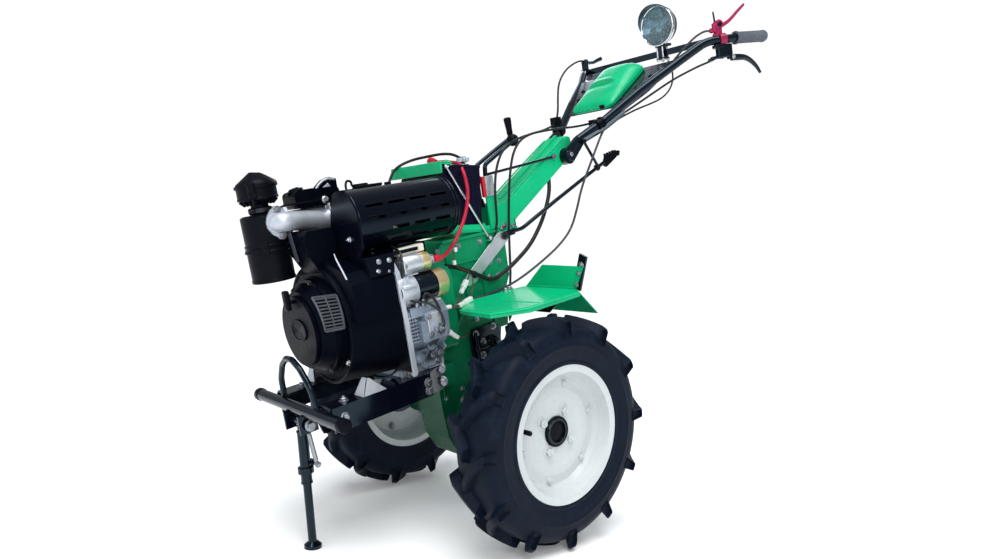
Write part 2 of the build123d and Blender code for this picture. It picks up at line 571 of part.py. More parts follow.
# ---------------------------------------------------------------- cables and leads
R_CLUTCH = [(-1032, 284, 1192), (-1003, 262, 1180), (-968, 246, 1171), (-929, 232, 1159), (-874, 199, 1137), (-804, 158, 1099),
            (-762, 127, 1074), (-718, 90, 1047), (-662, 68, 1040), (-610, 62, 1037), (-548, 58, 1032), (-471, 59, 1033),
            (-396, 62, 1031), (-338, 65, 1027), (-290, 66, 1012), (-258, 65, 978), (-238, 64, 926), (-226, 61, 872), (-210, 59, 785),
            (-199, 59, 715), (-188, 62, 650), (-174, 63, 596), (-156, 61, 568), (-132, 53, 549)]
R_THR = [(-1014, 283, 1268), (-992, 272, 1277), (-967, 256, 1270), (-941, 235, 1250), (-909, 190, 1202), (-884, 168, 1168), (-854, 149, 1136),
         (-811, 133, 1108), (-773, 118, 1089), (-740, 105, 1070), (-702, 95, 1050), (-666, 84, 1028), (-620, 99, 1006), (-588, 103, 974),
         (-543, 103, 918), (-492, 97, 846), (-464, 93, 784), (-430, 90, 727), (-368, 88, 686), (-287, 84, 652), (-214, 80, 626),
         (-150, 78, 611), (-87, 76, 606), (-42, 71, 602), (-12, 53, 594)]
R_LAMP = [(-1028, 77, 1284), (-1032, 80, 1250), (-1038, 80, 1212), (-1049, 85, 1180), (-1028, 95, 1142), (-980, 105, 1109), (-920, 112, 1087),
          (-855, 111, 1074), (-795, 100, 1062), (-735, 86, 1044), (-680, 76, 1024), (-648, 71, 1014), (-628, 69, 1014)]
R_FAR = [(-1050, -300, 1290), (-1010, -288, 1296), (-950, -272, 1285), (-880, -251, 1262), (-816, -225, 1230), (-762, -196, 1195), (-716, -163, 1148),
         (-679, -135, 1103), (-640, -109, 1073), (-596, -86, 1052), (-530, -56, 1042), (-455, -18, 1034), (-385, 22, 1029),
         (-318, 48, 1022), (-262, 56, 1009), (-218, 60, 985), (-184, 65, 938), (-167, 67, 874), (-163, 66, 806), (-160, 60, 776), (-152, 51, 752)]
R_HARN = [(-424, 30, 896), (-416, 37, 868), (-400, 44, 838), (-372, 51, 799), (-331, 60, 756), (-270, 71, 709), (-209, 78, 680), (-150, 82, 655),
          (-97, 82, 640), (-50, 85, 668), (0, 90, 694), (38, 93, 710), (66, 95, 717)]
R_RED = [(-101, -110, 985), (-107, -82, 986), (-109, -45, 981), (-100, -5, 976), (-84, 34, 974), (-73, 60, 950), (-67, 75, 915), (-62, 78, 880),
         (-36, 86, 832), (5, 96, 787), (45, 109, 760), (80, 126, 747), (110, 142, 746), (141, 150, 751)]
R_BLACK = [(126, -96, 878), (96, -104, 900), (62, -118, 925), (38, -138, 953), (8, -146, 986), (-38, -125, 1002), (-73, -86, 1005), (-94, -44, 1006),
           (-106, -6, 998), (-104, 20, 984)]
cl_ = rod((-609, 84.8, 1024.1), (-634, 91.8, 1035.6), 18.5) + box(-634, -608, 56, 80, 1006, 1047)
cl_ -= solid_arm
cr_ = mirror(rod((-609, 84.8, 1024.1), (-634, 91.8, 1035.6), 18.5), about=Plane.XZ) + box(-634, -608, -110, -84, 1036, 1078)
cr_ -= right_solid
CLUTCH = cord("clutch_cable", R_CLUTCH, 3.5)
THR = cord("throttle_cable", R_THR, 3.5)
LAMPW = cord("lamp_wire", R_LAMP, 3.0)
FAR = cord("far_lever_cable", R_FAR, 3.5)
HARN = cord("wiring_harness", R_HARN, 6.0)
RED = cord("battery_red_cable", R_RED, 5.0)
BLACK = cord("battery_black_cable", R_BLACK, 4.0)
cl_ = cl_ - CLUTCH - LAMPW - THR
cr_ = cr_ - FAR
add("cable_clamps", max(cl_.solids(), key=lambda s: s.volume), max(cr_.solids(), key=lambda s: s.volume))


def trimmed(s, *others):
    for o in others:
        s -= o
    return max(s.solids(), key=lambda q: q.volume)


add("clutch_cable", trimmed(CLUTCH, ll, case, up))
add("throttle_cable", trimmed(THR, th_, up))
add("lamp_wire", trimmed(LAMPW, lamp, cl_))
add("far_lever_cable", trimmed(FAR, rb, up))
add("wiring_harness", trimmed(HARN, col, bell))
add("battery_red_cable", trimmed(RED, bat, so))
add("battery_black_cable", trimmed(BLACK, bat, head))

# ---------------------------------------------------------------- standing frame and files
def standing(s):
    return Pos(X_SHIFT, 0, AXLE_Z) * Rot(0, TILT, 0) * Pos(0, 0, -AXLE_Z) * s


def solids_of(shapes):
    out = []
    for s in shapes:
        out.extend(s.solids())
    return out


# The stand's foot is a level disc on the ground under the leg's end
def ground_point(x, z):
    t = math.radians(TILT)
    return (X_SHIFT + x * math.cos(t) + (z - AXLE_Z) * math.sin(t), AXLE_Z - x * math.sin(t) + (z - AXLE_Z) * math.cos(t))


fx, fz = ground_point(FOOT_X, 116.0)
FOOT = cyl_z(0, 8, fx, 0, 21) + rod((fx, 0, 8), (fx, 0, 16), 21, 11)

os.makedirs("parts", exist_ok=True)
boxes = []
for name, shapes in PARTS.items():
    placed = []
    for s in solids_of(shapes):
        placed.append(standing(s))
    if name == "stand_leg":
        whole = placed[0]
        for p in placed[1:]:
            whole = whole + p
        whole = whole + FOOT
        whole -= box(fx - 60, fx + 60, -60, 60, -60, 0)
        placed = list(whole.solids())
    shape = placed[0] if len(placed) == 1 else Compound(placed)
    shape.label = name
    export_step(shape, f"parts/{name}.step")
    bb = shape.bounding_box()
    boxes.append((name, bb))

x0 = min(b.min.X for n, b in boxes); x1 = max(b.max.X for n, b in boxes)
y0 = min(b.min.Y for n, b in boxes); y1 = max(b.max.Y for n, b in boxes)
z0 = min(b.min.Z for n, b in boxes); z1 = max(b.max.Z for n, b in boxes)
print("box", round(x0, 2), round(x1, 2), round(y0, 2), round(y1, 2), round(z0, 3), round(z1, 2), "centre x", round((x0 + x1) / 2, 2))
print("pivot", ground_point(PIVOT_X, PIVOT_Z), "stand", ground_point(STAND_X, STAND_Z), "foot", (fx, fz), "axle x", X_SHIFT)
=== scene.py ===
import bpy
import bmesh
import math
from mathutils import Matrix, Vector


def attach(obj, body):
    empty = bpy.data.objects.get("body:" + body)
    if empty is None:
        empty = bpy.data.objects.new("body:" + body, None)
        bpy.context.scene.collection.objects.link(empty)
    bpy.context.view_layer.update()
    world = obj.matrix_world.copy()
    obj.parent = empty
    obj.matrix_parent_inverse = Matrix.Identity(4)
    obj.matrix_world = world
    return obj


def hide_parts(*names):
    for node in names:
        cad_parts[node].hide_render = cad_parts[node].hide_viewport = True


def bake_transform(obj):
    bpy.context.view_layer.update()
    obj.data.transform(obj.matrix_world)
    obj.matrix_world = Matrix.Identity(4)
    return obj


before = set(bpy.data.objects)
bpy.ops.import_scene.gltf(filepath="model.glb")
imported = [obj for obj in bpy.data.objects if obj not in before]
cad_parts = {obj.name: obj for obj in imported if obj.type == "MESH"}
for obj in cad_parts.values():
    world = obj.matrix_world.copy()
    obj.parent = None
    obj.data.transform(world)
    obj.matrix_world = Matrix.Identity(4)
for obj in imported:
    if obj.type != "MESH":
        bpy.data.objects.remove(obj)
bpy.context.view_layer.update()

SC = bpy.context.scene

# ------------------------------------------------------------------ frames
# Details are placed in the machine's own frame, in mm: frame rails level, axle on x = 0, z = 290.
# STAND turns and moves them to the parked machine's frame, in metres.
TILT = math.radians(13.04)
X_SHIFT, AXLE_Z = 0.16648, 0.290
CT, SN = math.cos(TILT), math.sin(TILT)
PARK = Matrix(((CT, 0, SN, X_SHIFT - AXLE_Z * SN), (0, 1, 0, 0), (-SN, 0, CT, AXLE_Z - AXLE_Z * CT), (0, 0, 0, 1)))
STAND = PARK @ Matrix.Scale(0.001, 4)


# ------------------------------------------------------------------ camera
cam_data = bpy.data.cameras.new("cam")
cam_data.sensor_width = 36.0
cam_data.sensor_fit = "HORIZONTAL"
cam_data.lens = 699.3528 * 36.0 / 995.0
cam_data.clip_start = 0.02
cam = bpy.data.objects.new("cam", cam_data)
SC.collection.objects.link(cam)
right = Vector((-0.757003, 0.652937, 0.024898))
down = Vector((-0.008681, 0.028051, -0.999569))
ahead = Vector((-0.653354, -0.756893, -0.015566))
cam.matrix_world = Matrix(((right.x, -down.x, -ahead.x, 1.40793), (right.y, -down.y, -ahead.y, 1.56148),
                           (right.z, -down.z, -ahead.z, 0.68786), (0, 0, 0, 1)))
SC.camera = cam

R_CLUTCH = [(-1.032, 0.284, 1.192), (-1.003, 0.262, 1.18), (-0.968, 0.246, 1.171), (-0.929, 0.232, 1.159),
            (-0.874, 0.199, 1.137), (-0.804, 0.158, 1.099), (-0.762, 0.127, 1.074), (-0.718, 0.09, 1.047), (-0.662, 0.068, 1.04),
            (-0.61, 0.062, 1.037), (-0.548, 0.058, 1.032), (-0.471, 0.059, 1.033), (-0.396, 0.062, 1.031),
            (-0.338, 0.065, 1.027), (-0.29, 0.066, 1.012), (-0.258, 0.065, 0.978), (-0.238, 0.064, 0.926),
            (-0.226, 0.061, 0.872), (-0.21, 0.059, 0.785), (-0.199, 0.059, 0.715), (-0.188, 0.062, 0.65), (-0.174, 0.063, 0.596),
            (-0.156, 0.061, 0.568), (-0.132, 0.053, 0.549)]
R_THR = [(-1.014, 0.283, 1.268), (-0.992, 0.272, 1.277), (-0.967, 0.256, 1.27), (-0.941, 0.235, 1.25), (-0.909, 0.19, 1.202),
         (-0.884, 0.168, 1.168), (-0.854, 0.149, 1.136), (-0.811, 0.133, 1.108), (-0.773, 0.118, 1.089), (-0.74, 0.105, 1.07),
         (-0.702, 0.095, 1.05), (-0.666, 0.084, 1.028), (-0.62, 0.099, 1.006), (-0.588, 0.103, 0.974), (-0.543, 0.103, 0.918),
         (-0.492, 0.097, 0.846), (-0.464, 0.093, 0.784), (-0.43, 0.09, 0.727), (-0.368, 0.088, 0.686), (-0.287, 0.084, 0.652),
         (-0.214, 0.08, 0.626), (-0.15, 0.078, 0.611), (-0.087, 0.076, 0.606), (-0.042, 0.071, 0.602), (-0.012, 0.053, 0.594)]
R_LAMP = [(-1.028, 0.077, 1.284), (-1.032, 0.08, 1.25), (-1.038, 0.08, 1.212), (-1.049, 0.085, 1.18), (-1.028, 0.095, 1.142),
          (-0.98, 0.105, 1.109), (-0.92, 0.112, 1.087), (-0.855, 0.111, 1.074), (-0.795, 0.1, 1.062), (-0.735, 0.086, 1.044),
          (-0.68, 0.076, 1.024), (-0.648, 0.071, 1.014), (-0.628, 0.069, 1.014)]
R_FAR = [(-1.05, -0.3, 1.29), (-1.01, -0.288, 1.296), (-0.95, -0.272, 1.285), (-0.88, -0.251, 1.262), (-0.816, -0.225, 1.23),
         (-0.762, -0.196, 1.195), (-0.716, -0.163, 1.148), (-0.679, -0.135, 1.103), (-0.64, -0.109, 1.073),
         (-0.596, -0.086, 1.052), (-0.53, -0.056, 1.042), (-0.455, -0.018, 1.034), (-0.385, 0.022, 1.029),
         (-0.318, 0.048, 1.022), (-0.262, 0.056, 1.009), (-0.218, 0.06, 0.985), (-0.184, 0.065, 0.938),
         (-0.167, 0.067, 0.874), (-0.163, 0.066, 0.806), (-0.16, 0.06, 0.776), (-0.152, 0.051, 0.752)]
R_HARN = [(-0.424, 0.03, 0.896), (-0.416, 0.037, 0.868), (-0.4, 0.044, 0.838), (-0.372, 0.051, 0.799), (-0.331, 0.06, 0.756),
          (-0.27, 0.071, 0.709), (-0.209, 0.078, 0.68), (-0.15, 0.082, 0.655), (-0.097, 0.082, 0.64), (-0.05, 0.085, 0.668),
          (0, 0.09, 0.694), (0.038, 0.093, 0.71), (0.066, 0.095, 0.717)]
R_RED = [(-0.101, -0.11, 0.985), (-0.107, -0.082, 0.986), (-0.109, -0.045, 0.981), (-0.1, -0.005, 0.976),
         (-0.084, 0.034, 0.974), (-0.073, 0.06, 0.95), (-0.067, 0.075, 0.915), (-0.062, 0.078, 0.88), (-0.036, 0.086, 0.832),
         (0.005, 0.096, 0.787), (0.045, 0.109, 0.76), (0.08, 0.126, 0.747), (0.11, 0.142, 0.746), (0.141, 0.15, 0.751)]
R_BLACK = [(0.126, -0.096, 0.878), (0.096, -0.104, 0.9), (0.062, -0.118, 0.925), (0.038, -0.138, 0.953), (0.008, -0.146, 0.986),
           (-0.038, -0.125, 1.002), (-0.073, -0.086, 1.005), (-0.094, -0.044, 1.006), (-0.106, -0.006, 0.998),
           (-0.104, 0.02, 0.984)]

# ------------------------------------------------------------------ materials
def shader(name):
    m = bpy.data.materials.new(name)
    m.use_nodes = True
    nt = m.node_tree
    b = nt.nodes["Principled BSDF"]
    tc = nt.nodes.new("ShaderNodeTexCoord")
    return m, nt, b, tc.outputs["Object"]


def noise_node(nt, vec, scale, detail=4.0, rough=0.55, dist=0.0):
    n = nt.nodes.new("ShaderNodeTexNoise")
    n.inputs["Scale"].default_value = scale
    n.inputs["Detail"].default_value = detail
    n.inputs["Roughness"].default_value = rough
    n.inputs["Distortion"].default_value = dist
    nt.links.new(vec, n.inputs["Vector"])
    return n.outputs["Fac"]


def ramp(nt, fac, stops):
    r = nt.nodes.new("ShaderNodeValToRGB")
    e = r.color_ramp.elements
    while len(e) < len(stops):
        e.new(0.5)
    for q, (pos, col) in zip(e, stops):
        q.position = pos
        q.color = (*col, 1.0) if len(col) == 3 else col
    nt.links.new(fac, r.inputs["Fac"])
    return r.outputs["Color"]


def maprange(nt, v, a, b, c, d):
    r = nt.nodes.new("ShaderNodeMapRange")
    for k, x in zip(("From Min", "From Max", "To Min", "To Max"), (a, b, c, d)):
        r.inputs[k].default_value = x
    nt.links.new(v, r.inputs["Value"])
    return r.outputs["Result"]


def mixcol(nt, fac, a, b):
    m = nt.nodes.new("ShaderNodeMix")
    m.data_type = "RGBA"
    nt.links.new(fac, m.inputs["Factor"])
    for s, v in ((m.inputs["A"], a), (m.inputs["B"], b)):
        if isinstance(v, (tuple, list)):
            s.default_value = (*v, 1.0)
        else:
            nt.links.new(v, s)
    return m.outputs["Result"]


def bump(nt, height, strength, distance, normal=None):
    b = nt.nodes.new("ShaderNodeBump")
    b.inputs["Strength"].default_value = strength
    b.inputs["Distance"].default_value = distance
    nt.links.new(height, b.inputs["Height"])
    if normal is not None:
        nt.links.new(normal, b.inputs["Normal"])
    return b.outputs["Normal"]


def paint(name, col, col2, rough=(0.16, 0.30), coat=0.5, peel=0.05, dust=(0.55, 0.52, 0.47), dust_amount=0.12,
          dirt_scale=9.0, metallic=0.0, spec=0.5, tint=None, low=None):
    """Sprayed enamel: slow colour drift, orange peel, thin dust in patches, small scuffs."""
    m, nt, b, oc = shader(name)
    drift = ramp(nt, noise_node(nt, oc, 5.0, 3.0), [(0.30, col2), (0.70, col)])
    fine = noise_node(nt, oc, 95.0, 5.0, 0.6)
    c1 = mixcol(nt, maprange(nt, fine, 0.35, 0.75, 0.0, 0.18), drift, tuple(x * 0.62 for x in col))
    patch = noise_node(nt, oc, dirt_scale, 7.0, 0.62, 0.6)
    d = maprange(nt, patch, 0.52, 0.80, 0.0, dust_amount)
    c2 = mixcol(nt, d, c1, dust)
    scuff = maprange(nt, noise_node(nt, oc, 240.0, 2.0, 0.5, 1.4), 0.74, 0.80, 0.0, 0.35)
    c3 = mixcol(nt, scuff, c2, tuple(min(1.0, x * 1.4 + 0.04) for x in col))
    if low is not None:
        # painted shade: the colour darkens towards the bottom of the casting, standing in for the shade that falls low
        # on the gearbox
        sep = nt.nodes.new("ShaderNodeSeparateXYZ")
        nt.links.new(oc, sep.inputs["Vector"])
        c3 = mixcol(nt, maprange(nt, sep.outputs["Z"], low[0], low[1], low[2], 0.0), c3, tuple(x * 0.10 for x in col))
    nt.links.new(c3, b.inputs["Base Color"])
    if tint is not None:
        b.inputs["Specular Tint"].default_value = (*tint, 1.0)
    nt.links.new(maprange(nt, patch, 0.35, 0.75, rough[0], rough[1]), b.inputs["Roughness"])
    h = noise_node(nt, oc, 420.0, 2.0, 0.5)
    nt.links.new(bump(nt, h, peel, 0.001, bump(nt, fine, peel * 0.8, 0.002)), b.inputs["Normal"])
    b.inputs["Metallic"].default_value = metallic
    b.inputs["Coat Weight"].default_value = coat
    b.inputs["Coat Roughness"].default_value = 0.08
    b.inputs["Specular IOR Level"].default_value = spec
    return m


def metal(name, col, col2, rough=(0.25, 0.45), grain=60.0, bumpiness=0.15, metallic=1.0, stain=(0.16, 0.13, 0.11),
          stain_amount=0.25, stretch=None):
    """Bare or plated metal: cloudy brightness, stains in patches, grain in the bump."""
    m, nt, b, oc = shader(name)
    vec = oc
    if stretch is not None:
        mp = nt.nodes.new("ShaderNodeMapping")
        mp.inputs["Scale"].default_value = stretch
        nt.links.new(oc, mp.inputs["Vector"])
        vec = mp.outputs["Vector"]
    cloud = noise_node(nt, oc, 16.0, 6.0, 0.6, 0.3)
    c1 = ramp(nt, cloud, [(0.32, col2), (0.68, col)])
    st = maprange(nt, noise_node(nt, oc, 34.0, 8.0, 0.7, 0.8), 0.60, 0.78, 0.0, stain_amount)
    nt.links.new(mixcol(nt, st, c1, stain), b.inputs["Base Color"])
    g = noise_node(nt, vec, grain, 6.0, 0.65)
    nt.links.new(maprange(nt, g, 0.3, 0.7, rough[0], rough[1]), b.inputs["Roughness"])
    nt.links.new(bump(nt, g, bumpiness, 0.0015), b.inputs["Normal"])
    b.inputs["Metallic"].default_value = metallic
    return m


def rubber(name, col, col2, rough=(0.55, 0.78), dust=(0.24, 0.23, 0.21), dust_amount=0.22, scale=28.0, bumpiness=0.35, spec=0.26):
    """Moulded rubber: dull, slightly mottled, dust caught in patches, fine pebble in the bump."""
    m, nt, b, oc = shader(name)
    c1 = ramp(nt, noise_node(nt, oc, 11.0, 5.0, 0.6, 0.3), [(0.30, col2), (0.72, col)])
    patch = noise_node(nt, oc, scale, 8.0, 0.68, 0.5)
    d = maprange(nt, patch, 0.50, 0.80, 0.0, dust_amount)
    nt.links.new(mixcol(nt, d, c1, dust), b.inputs["Base Color"])
    nt.links.new(maprange(nt, patch, 0.3, 0.75, rough[0], rough[1]), b.inputs["Roughness"])
    fine = noise_node(nt, oc, 520.0, 3.0, 0.6)
    nt.links.new(bump(nt, fine, bumpiness, 0.0008, bump(nt, patch, bumpiness * 0.4, 0.002)), b.inputs["Normal"])
    b.inputs["Specular IOR Level"].default_value = spec
    return m


def plastic(name, col, col2, rough=(0.28, 0.42), pebble=0.12, sub=0.0, spec=0.40):
    """Moulded plastic: faint flow marks, fine pebble, handled patches that shine more."""
    m, nt, b, oc = shader(name)
    flow = noise_node(nt, oc, 14.0, 4.0, 0.5, 1.2)
    nt.links.new(ramp(nt, flow, [(0.28, col2), (0.70, col)]), b.inputs["Base Color"])
    nt.links.new(maprange(nt, noise_node(nt, oc, 30.0, 6.0, 0.6), 0.3, 0.7, rough[0], rough[1]), b.inputs["Roughness"])
    nt.links.new(bump(nt, noise_node(nt, oc, 700.0, 2.0, 0.5), pebble, 0.0006), b.inputs["Normal"])
    b.inputs["Subsurface Weight"].default_value = sub
    b.inputs["Specular IOR Level"].default_value = spec
    return m


NAVY = (0.55, 0.80, 1.0)
GREEN = paint("green_enamel", (0.0035, 0.520, 0.225), (0.0025, 0.430, 0.180), rough=(0.18, 0.30), coat=0.05, dust_amount=0.03, spec=0.22,
              tint=(0.75, 1.0, 0.92))
# low: painted shade, the casting's colour darkened towards its bottom
GREEN_CAST = paint("green_cast", (0.0025, 0.300, 0.128), (0.0015, 0.215, 0.090), rough=(0.24, 0.42), coat=0.05, peel=0.30,
                   dust=(0.30, 0.34, 0.32), dust_amount=0.05, spec=0.18, tint=(0.70, 1.0, 0.90), low=(0.30, 0.66, 0.92))
BLACK = paint("black_enamel", (0.0020, 0.0030, 0.0075), (0.0014, 0.0021, 0.0052), rough=(0.10, 0.20), coat=0.0,
              dust=(0.03, 0.036, 0.045), dust_amount=0.06, spec=0.38, tint=NAVY)
BLACK_CAST = paint("black_cast", (0.0012, 0.0018, 0.0050), (0.0008, 0.0012, 0.0034), rough=(0.30, 0.48), coat=0.0, peel=0.4,
                   dust=(0.022, 0.026, 0.034), dust_amount=0.06, spec=0.05, tint=NAVY)
BLACK_SHEET = paint("black_sheet", (0.0013, 0.0020, 0.0058), (0.0009, 0.0014, 0.0042), rough=(0.13, 0.24), coat=0.0, peel=0.10,
                    dust=(0.022, 0.026, 0.036), dust_amount=0.06, spec=0.20, tint=NAVY)
CREAM = paint("cream_enamel", (0.565, 0.605, 0.615), (0.505, 0.545, 0.555), rough=(0.26, 0.40), coat=0.06, dust=(0.42, 0.42, 0.40),
              dust_amount=0.12, spec=0.25)
TYRE = rubber("tyre_rubber_tread", (0.0036, 0.0080, 0.0185), (0.0022, 0.0050, 0.0120), rough=(0.40, 0.62),
              dust=(0.050, 0.085, 0.125), dust_amount=0.11, spec=0.09)
GRIP = rubber("grip_foam", (0.105, 0.122, 0.150), (0.070, 0.082, 0.104), bumpiness=0.5, dust_amount=0.12)
SHEATH = rubber("sheath_black", (0.007, 0.008, 0.011), (0.005, 0.0055, 0.0075), rough=(0.32, 0.48), bumpiness=0.08, dust_amount=0.10)
SHEATH_GREY = rubber("sheath_grey", (0.045, 0.050, 0.060), (0.030, 0.034, 0.042), rough=(0.32, 0.48), bumpiness=0.08,
                     dust_amount=0.15)
SHEATH_RED = rubber("sheath_red", (0.50, 0.012, 0.045), (0.40, 0.009, 0.035), rough=(0.28, 0.42), bumpiness=0.06,
                    dust_amount=0.05)
CAST_AL = metal("cast_aluminium_raw", (0.58, 0.62, 0.68), (0.40, 0.44, 0.50), rough=(0.36, 0.54), grain=180.0, bumpiness=0.30,
                stain_amount=0.30, metallic=0.55)
CAST_DARK = metal("cast_aluminium_dull", (0.32, 0.39, 0.48), (0.16, 0.20, 0.26), rough=(0.42, 0.62), grain=160.0,
                  bumpiness=0.4, stain=(0.02, 0.025, 0.035), stain_amount=0.55, metallic=0.35)
SLATS = metal("slats_grey", (0.060, 0.070, 0.085), (0.030, 0.036, 0.046), rough=(0.40, 0.58), grain=160.0, bumpiness=0.3,
              stain=(0.01, 0.01, 0.015), stain_amount=0.4, metallic=0.3)
ZINC = metal("zinc_plate", (0.66, 0.68, 0.71), (0.48, 0.50, 0.53), rough=(0.20, 0.36), grain=90.0, bumpiness=0.06,
             stain_amount=0.22)
GALV = metal("galvanised_steel", (0.62, 0.66, 0.70), (0.46, 0.50, 0.54), rough=(0.30, 0.48), grain=70.0, bumpiness=0.08,
             stain_amount=0.15, metallic=0.8)
CHROME = metal("chrome_plate", (0.72, 0.75, 0.78), (0.58, 0.61, 0.64), rough=(0.05, 0.12), grain=40.0, bumpiness=0.02,
               stain_amount=0.06)
SMOKE = metal("reflector_silvering", (0.24, 0.32, 0.36), (0.16, 0.22, 0.25), rough=(0.20, 0.32), grain=14.0, bumpiness=0.03,
              stain=(0.06, 0.14, 0.13), stain_amount=0.18)
BRASS = metal("yellow_zinc", (0.80, 0.66, 0.36), (0.62, 0.48, 0.24), rough=(0.26, 0.42), grain=80.0, bumpiness=0.06,
              stain_amount=0.15, metallic=0.8)
BOLT = metal("bolt_zinc", (0.42, 0.44, 0.48), (0.24, 0.26, 0.29), rough=(0.26, 0.46), grain=120.0, bumpiness=0.1,
             stain_amount=0.40)
BOLT_BLACK = metal("bolt_blackened", (0.040, 0.043, 0.050), (0.020, 0.022, 0.027), rough=(0.28, 0.45), grain=120.0,
                   bumpiness=0.15, stain_amount=0.2, metallic=0.7)
PL_BLACK = plastic("black_moulding", (0.0026, 0.0034, 0.0070), (0.0018, 0.0024, 0.0050), rough=(0.26, 0.42), spec=0.07)
PL_BATT = plastic("battery_moulding", (0.0030, 0.0042, 0.0180), (0.0022, 0.0030, 0.0120), rough=(0.26, 0.42), pebble=0.18, spec=0.10)
PL_GREEN = plastic("green_moulding", (0.002, 0.470, 0.200), (0.0015, 0.390, 0.165), rough=(0.20, 0.32), pebble=0.06, spec=0.22)
PL_RED = plastic("red_moulding", (0.58, 0.010, 0.035), (0.46, 0.006, 0.025), rough=(0.22, 0.34), pebble=0.05)
PL_CRIMSON = plastic("crimson_moulding", (0.36, 0.006, 0.070), (0.24, 0.004, 0.042), rough=(0.24, 0.36), pebble=0.05)
PL_CREAM = plastic("cream_moulding", (0.72, 0.70, 0.60), (0.62, 0.60, 0.50), rough=(0.30, 0.45))
PL_WHITE = plastic("white_moulding", (0.80, 0.82, 0.82), (0.70, 0.72, 0.72), rough=(0.28, 0.42))
WIRE_BROWN = rubber("wire_brown", (0.10, 0.045, 0.030), (0.07, 0.03, 0.02), rough=(0.3, 0.45), bumpiness=0.05, dust_amount=0.1)


def glass_mat():
    m, nt, b, oc = shader("lamp_glass")
    n = noise_node(nt, oc, 55.0, 2.0, 0.5)
    nt.links.new(ramp(nt, n, [(0.3, (0.52, 0.66, 0.72)), (0.7, (0.66, 0.80, 0.86))]), b.inputs["Base Color"])
    w = nt.nodes.new("ShaderNodeTexWave")
    w.wave_type = "BANDS"
    w.bands_direction = "Y"
    w.inputs["Scale"].default_value = 38.0
    nt.links.new(oc, w.inputs["Vector"])
    nt.links.new(bump(nt, w.outputs["Fac"], 0.02, 0.0005), b.inputs["Normal"])
    nt.links.new(maprange(nt, n, 0.3, 0.7, 0.14, 0.20), b.inputs["Roughness"])
    b.inputs["Transmission Weight"].default_value = 0.90
    b.inputs["IOR"].default_value = 1.22
    return m


GLASS = glass_mat()

NODE_MAT = {}
for n in ("left_fender", "right_fender", "steering_column", "rear_hitch", "battery_tray", "battery_clamp_bar"):
    NODE_MAT[n] = GREEN
for n in ("gearbox_case", "gearbox_upper", "clutch_bell"):
    NODE_MAT[n] = GREEN_CAST
for n in ("left_hub", "right_hub", "frame_rails", "front_cross_tube", "front_guard_hoop", "stand_bracket", "stand_leg",
          "fender_stays", "gear_levers", "control_rods", "handlebar_left_arm", "handlebar_right_arm", "handlebar_crossbar",
          "hand_levers", "rod_strut", "toolbox_plate", "muffler_guard", "muffler", "starter_motor"):
    NODE_MAT[n] = BLACK
for n in ("blower_housing", "recoil_starter", "cylinder_head"):
    NODE_MAT[n] = BLACK_CAST
NODE_MAT["muffler_guard"] = BLACK_SHEET
for n in ("left_rim", "right_rim"):
    NODE_MAT[n] = CREAM
for n in ("recoil_handle", "air_cleaner_body", "air_precleaner", "headlamp", "cable_clamps", "fuel_tank"):
    NODE_MAT[n] = PL_BLACK
NODE_MAT.update(battery=PL_BATT, engine_block=CAST_DARK, intake_elbow=CAST_AL, starter_solenoid=GALV, brace_bar=GALV,
                pivot_bolt=ZINC, headlamp_clamp=BLACK, toolbox=PL_GREEN, throttle_lever=PL_CRIMSON, grips=GRIP)
for n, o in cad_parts.items():
    mt = NODE_MAT.get(n)
    if mt is None:
        continue
    o.data.materials.clear()
    o.data.materials.append(mt)


# ------------------------------------------------------------------ cords
def spline_obj(name, pts, r=0.0):
    cu = bpy.data.curves.new(name, "CURVE")
    cu.dimensions = "3D"
    sp = cu.splines.new("NURBS")
    sp.points.add(len(pts) - 1)
    for q, p in zip(sp.points, pts):
        q.co = (*(PARK @ Vector(p)), 1.0)
    sp.order_u = 3
    sp.use_endpoint_u = True
    cu.resolution_u = 14
    cu.bevel_depth = r
    cu.bevel_resolution = 4
    ob = bpy.data.objects.new(name, cu)
    SC.collection.objects.link(ob)
    return ob


def line_of(name, pts):
    """Points of the route's own smooth line, and its length."""
    ob = spline_obj(name + "_line", pts)
    dg = bpy.context.evaluated_depsgraph_get()
    me = bpy.data.meshes.new_from_object(ob.evaluated_get(dg))
    out = [v.co.copy() for v in me.vertices]
    bpy.data.meshes.remove(me)
    bpy.data.objects.remove(ob, do_unlink=True)
    return out, sum((b - a).length for a, b in zip(out, out[1:]))


def sweep(bm, pts, r, n=12, caps=True, mi=0):
    """Round tube through pts; r is a number or one radius per point."""
    pts = [Vector(p) for p in pts]
    rr = r if isinstance(r, (list, tuple)) else [r] * len(pts)
    tan = []
    for i in range(len(pts)):
        a, b = pts[max(0, i - 1)], pts[min(len(pts) - 1, i + 1)]
        tan.append((b - a).normalized())
    up = Vector((0, 0, 1)) if abs(tan[0].z) < 0.9 else Vector((1, 0, 0))
    u = (up - tan[0] * up.dot(tan[0])).normalized()
    rings = []
    for i, p in enumerate(pts):
        if i:
            u = (u - tan[i] * u.dot(tan[i])).normalized()
        v = tan[i].cross(u)
        rings.append([bm.verts.new(p + (u * math.cos(2 * math.pi * k / n) + v * math.sin(2 * math.pi * k / n)) * rr[i])
                      for k in range(n)])
    for a, b in zip(rings, rings[1:]):
        for k in range(n):
            f = bm.faces.new((a[k], a[(k + 1) % n], b[(k + 1) % n], b[k]))
            f.material_index = mi
    if caps:
        bm.faces.new(list(reversed(rings[0]))).material_index = mi
        bm.faces.new(rings[-1]).material_index = mi


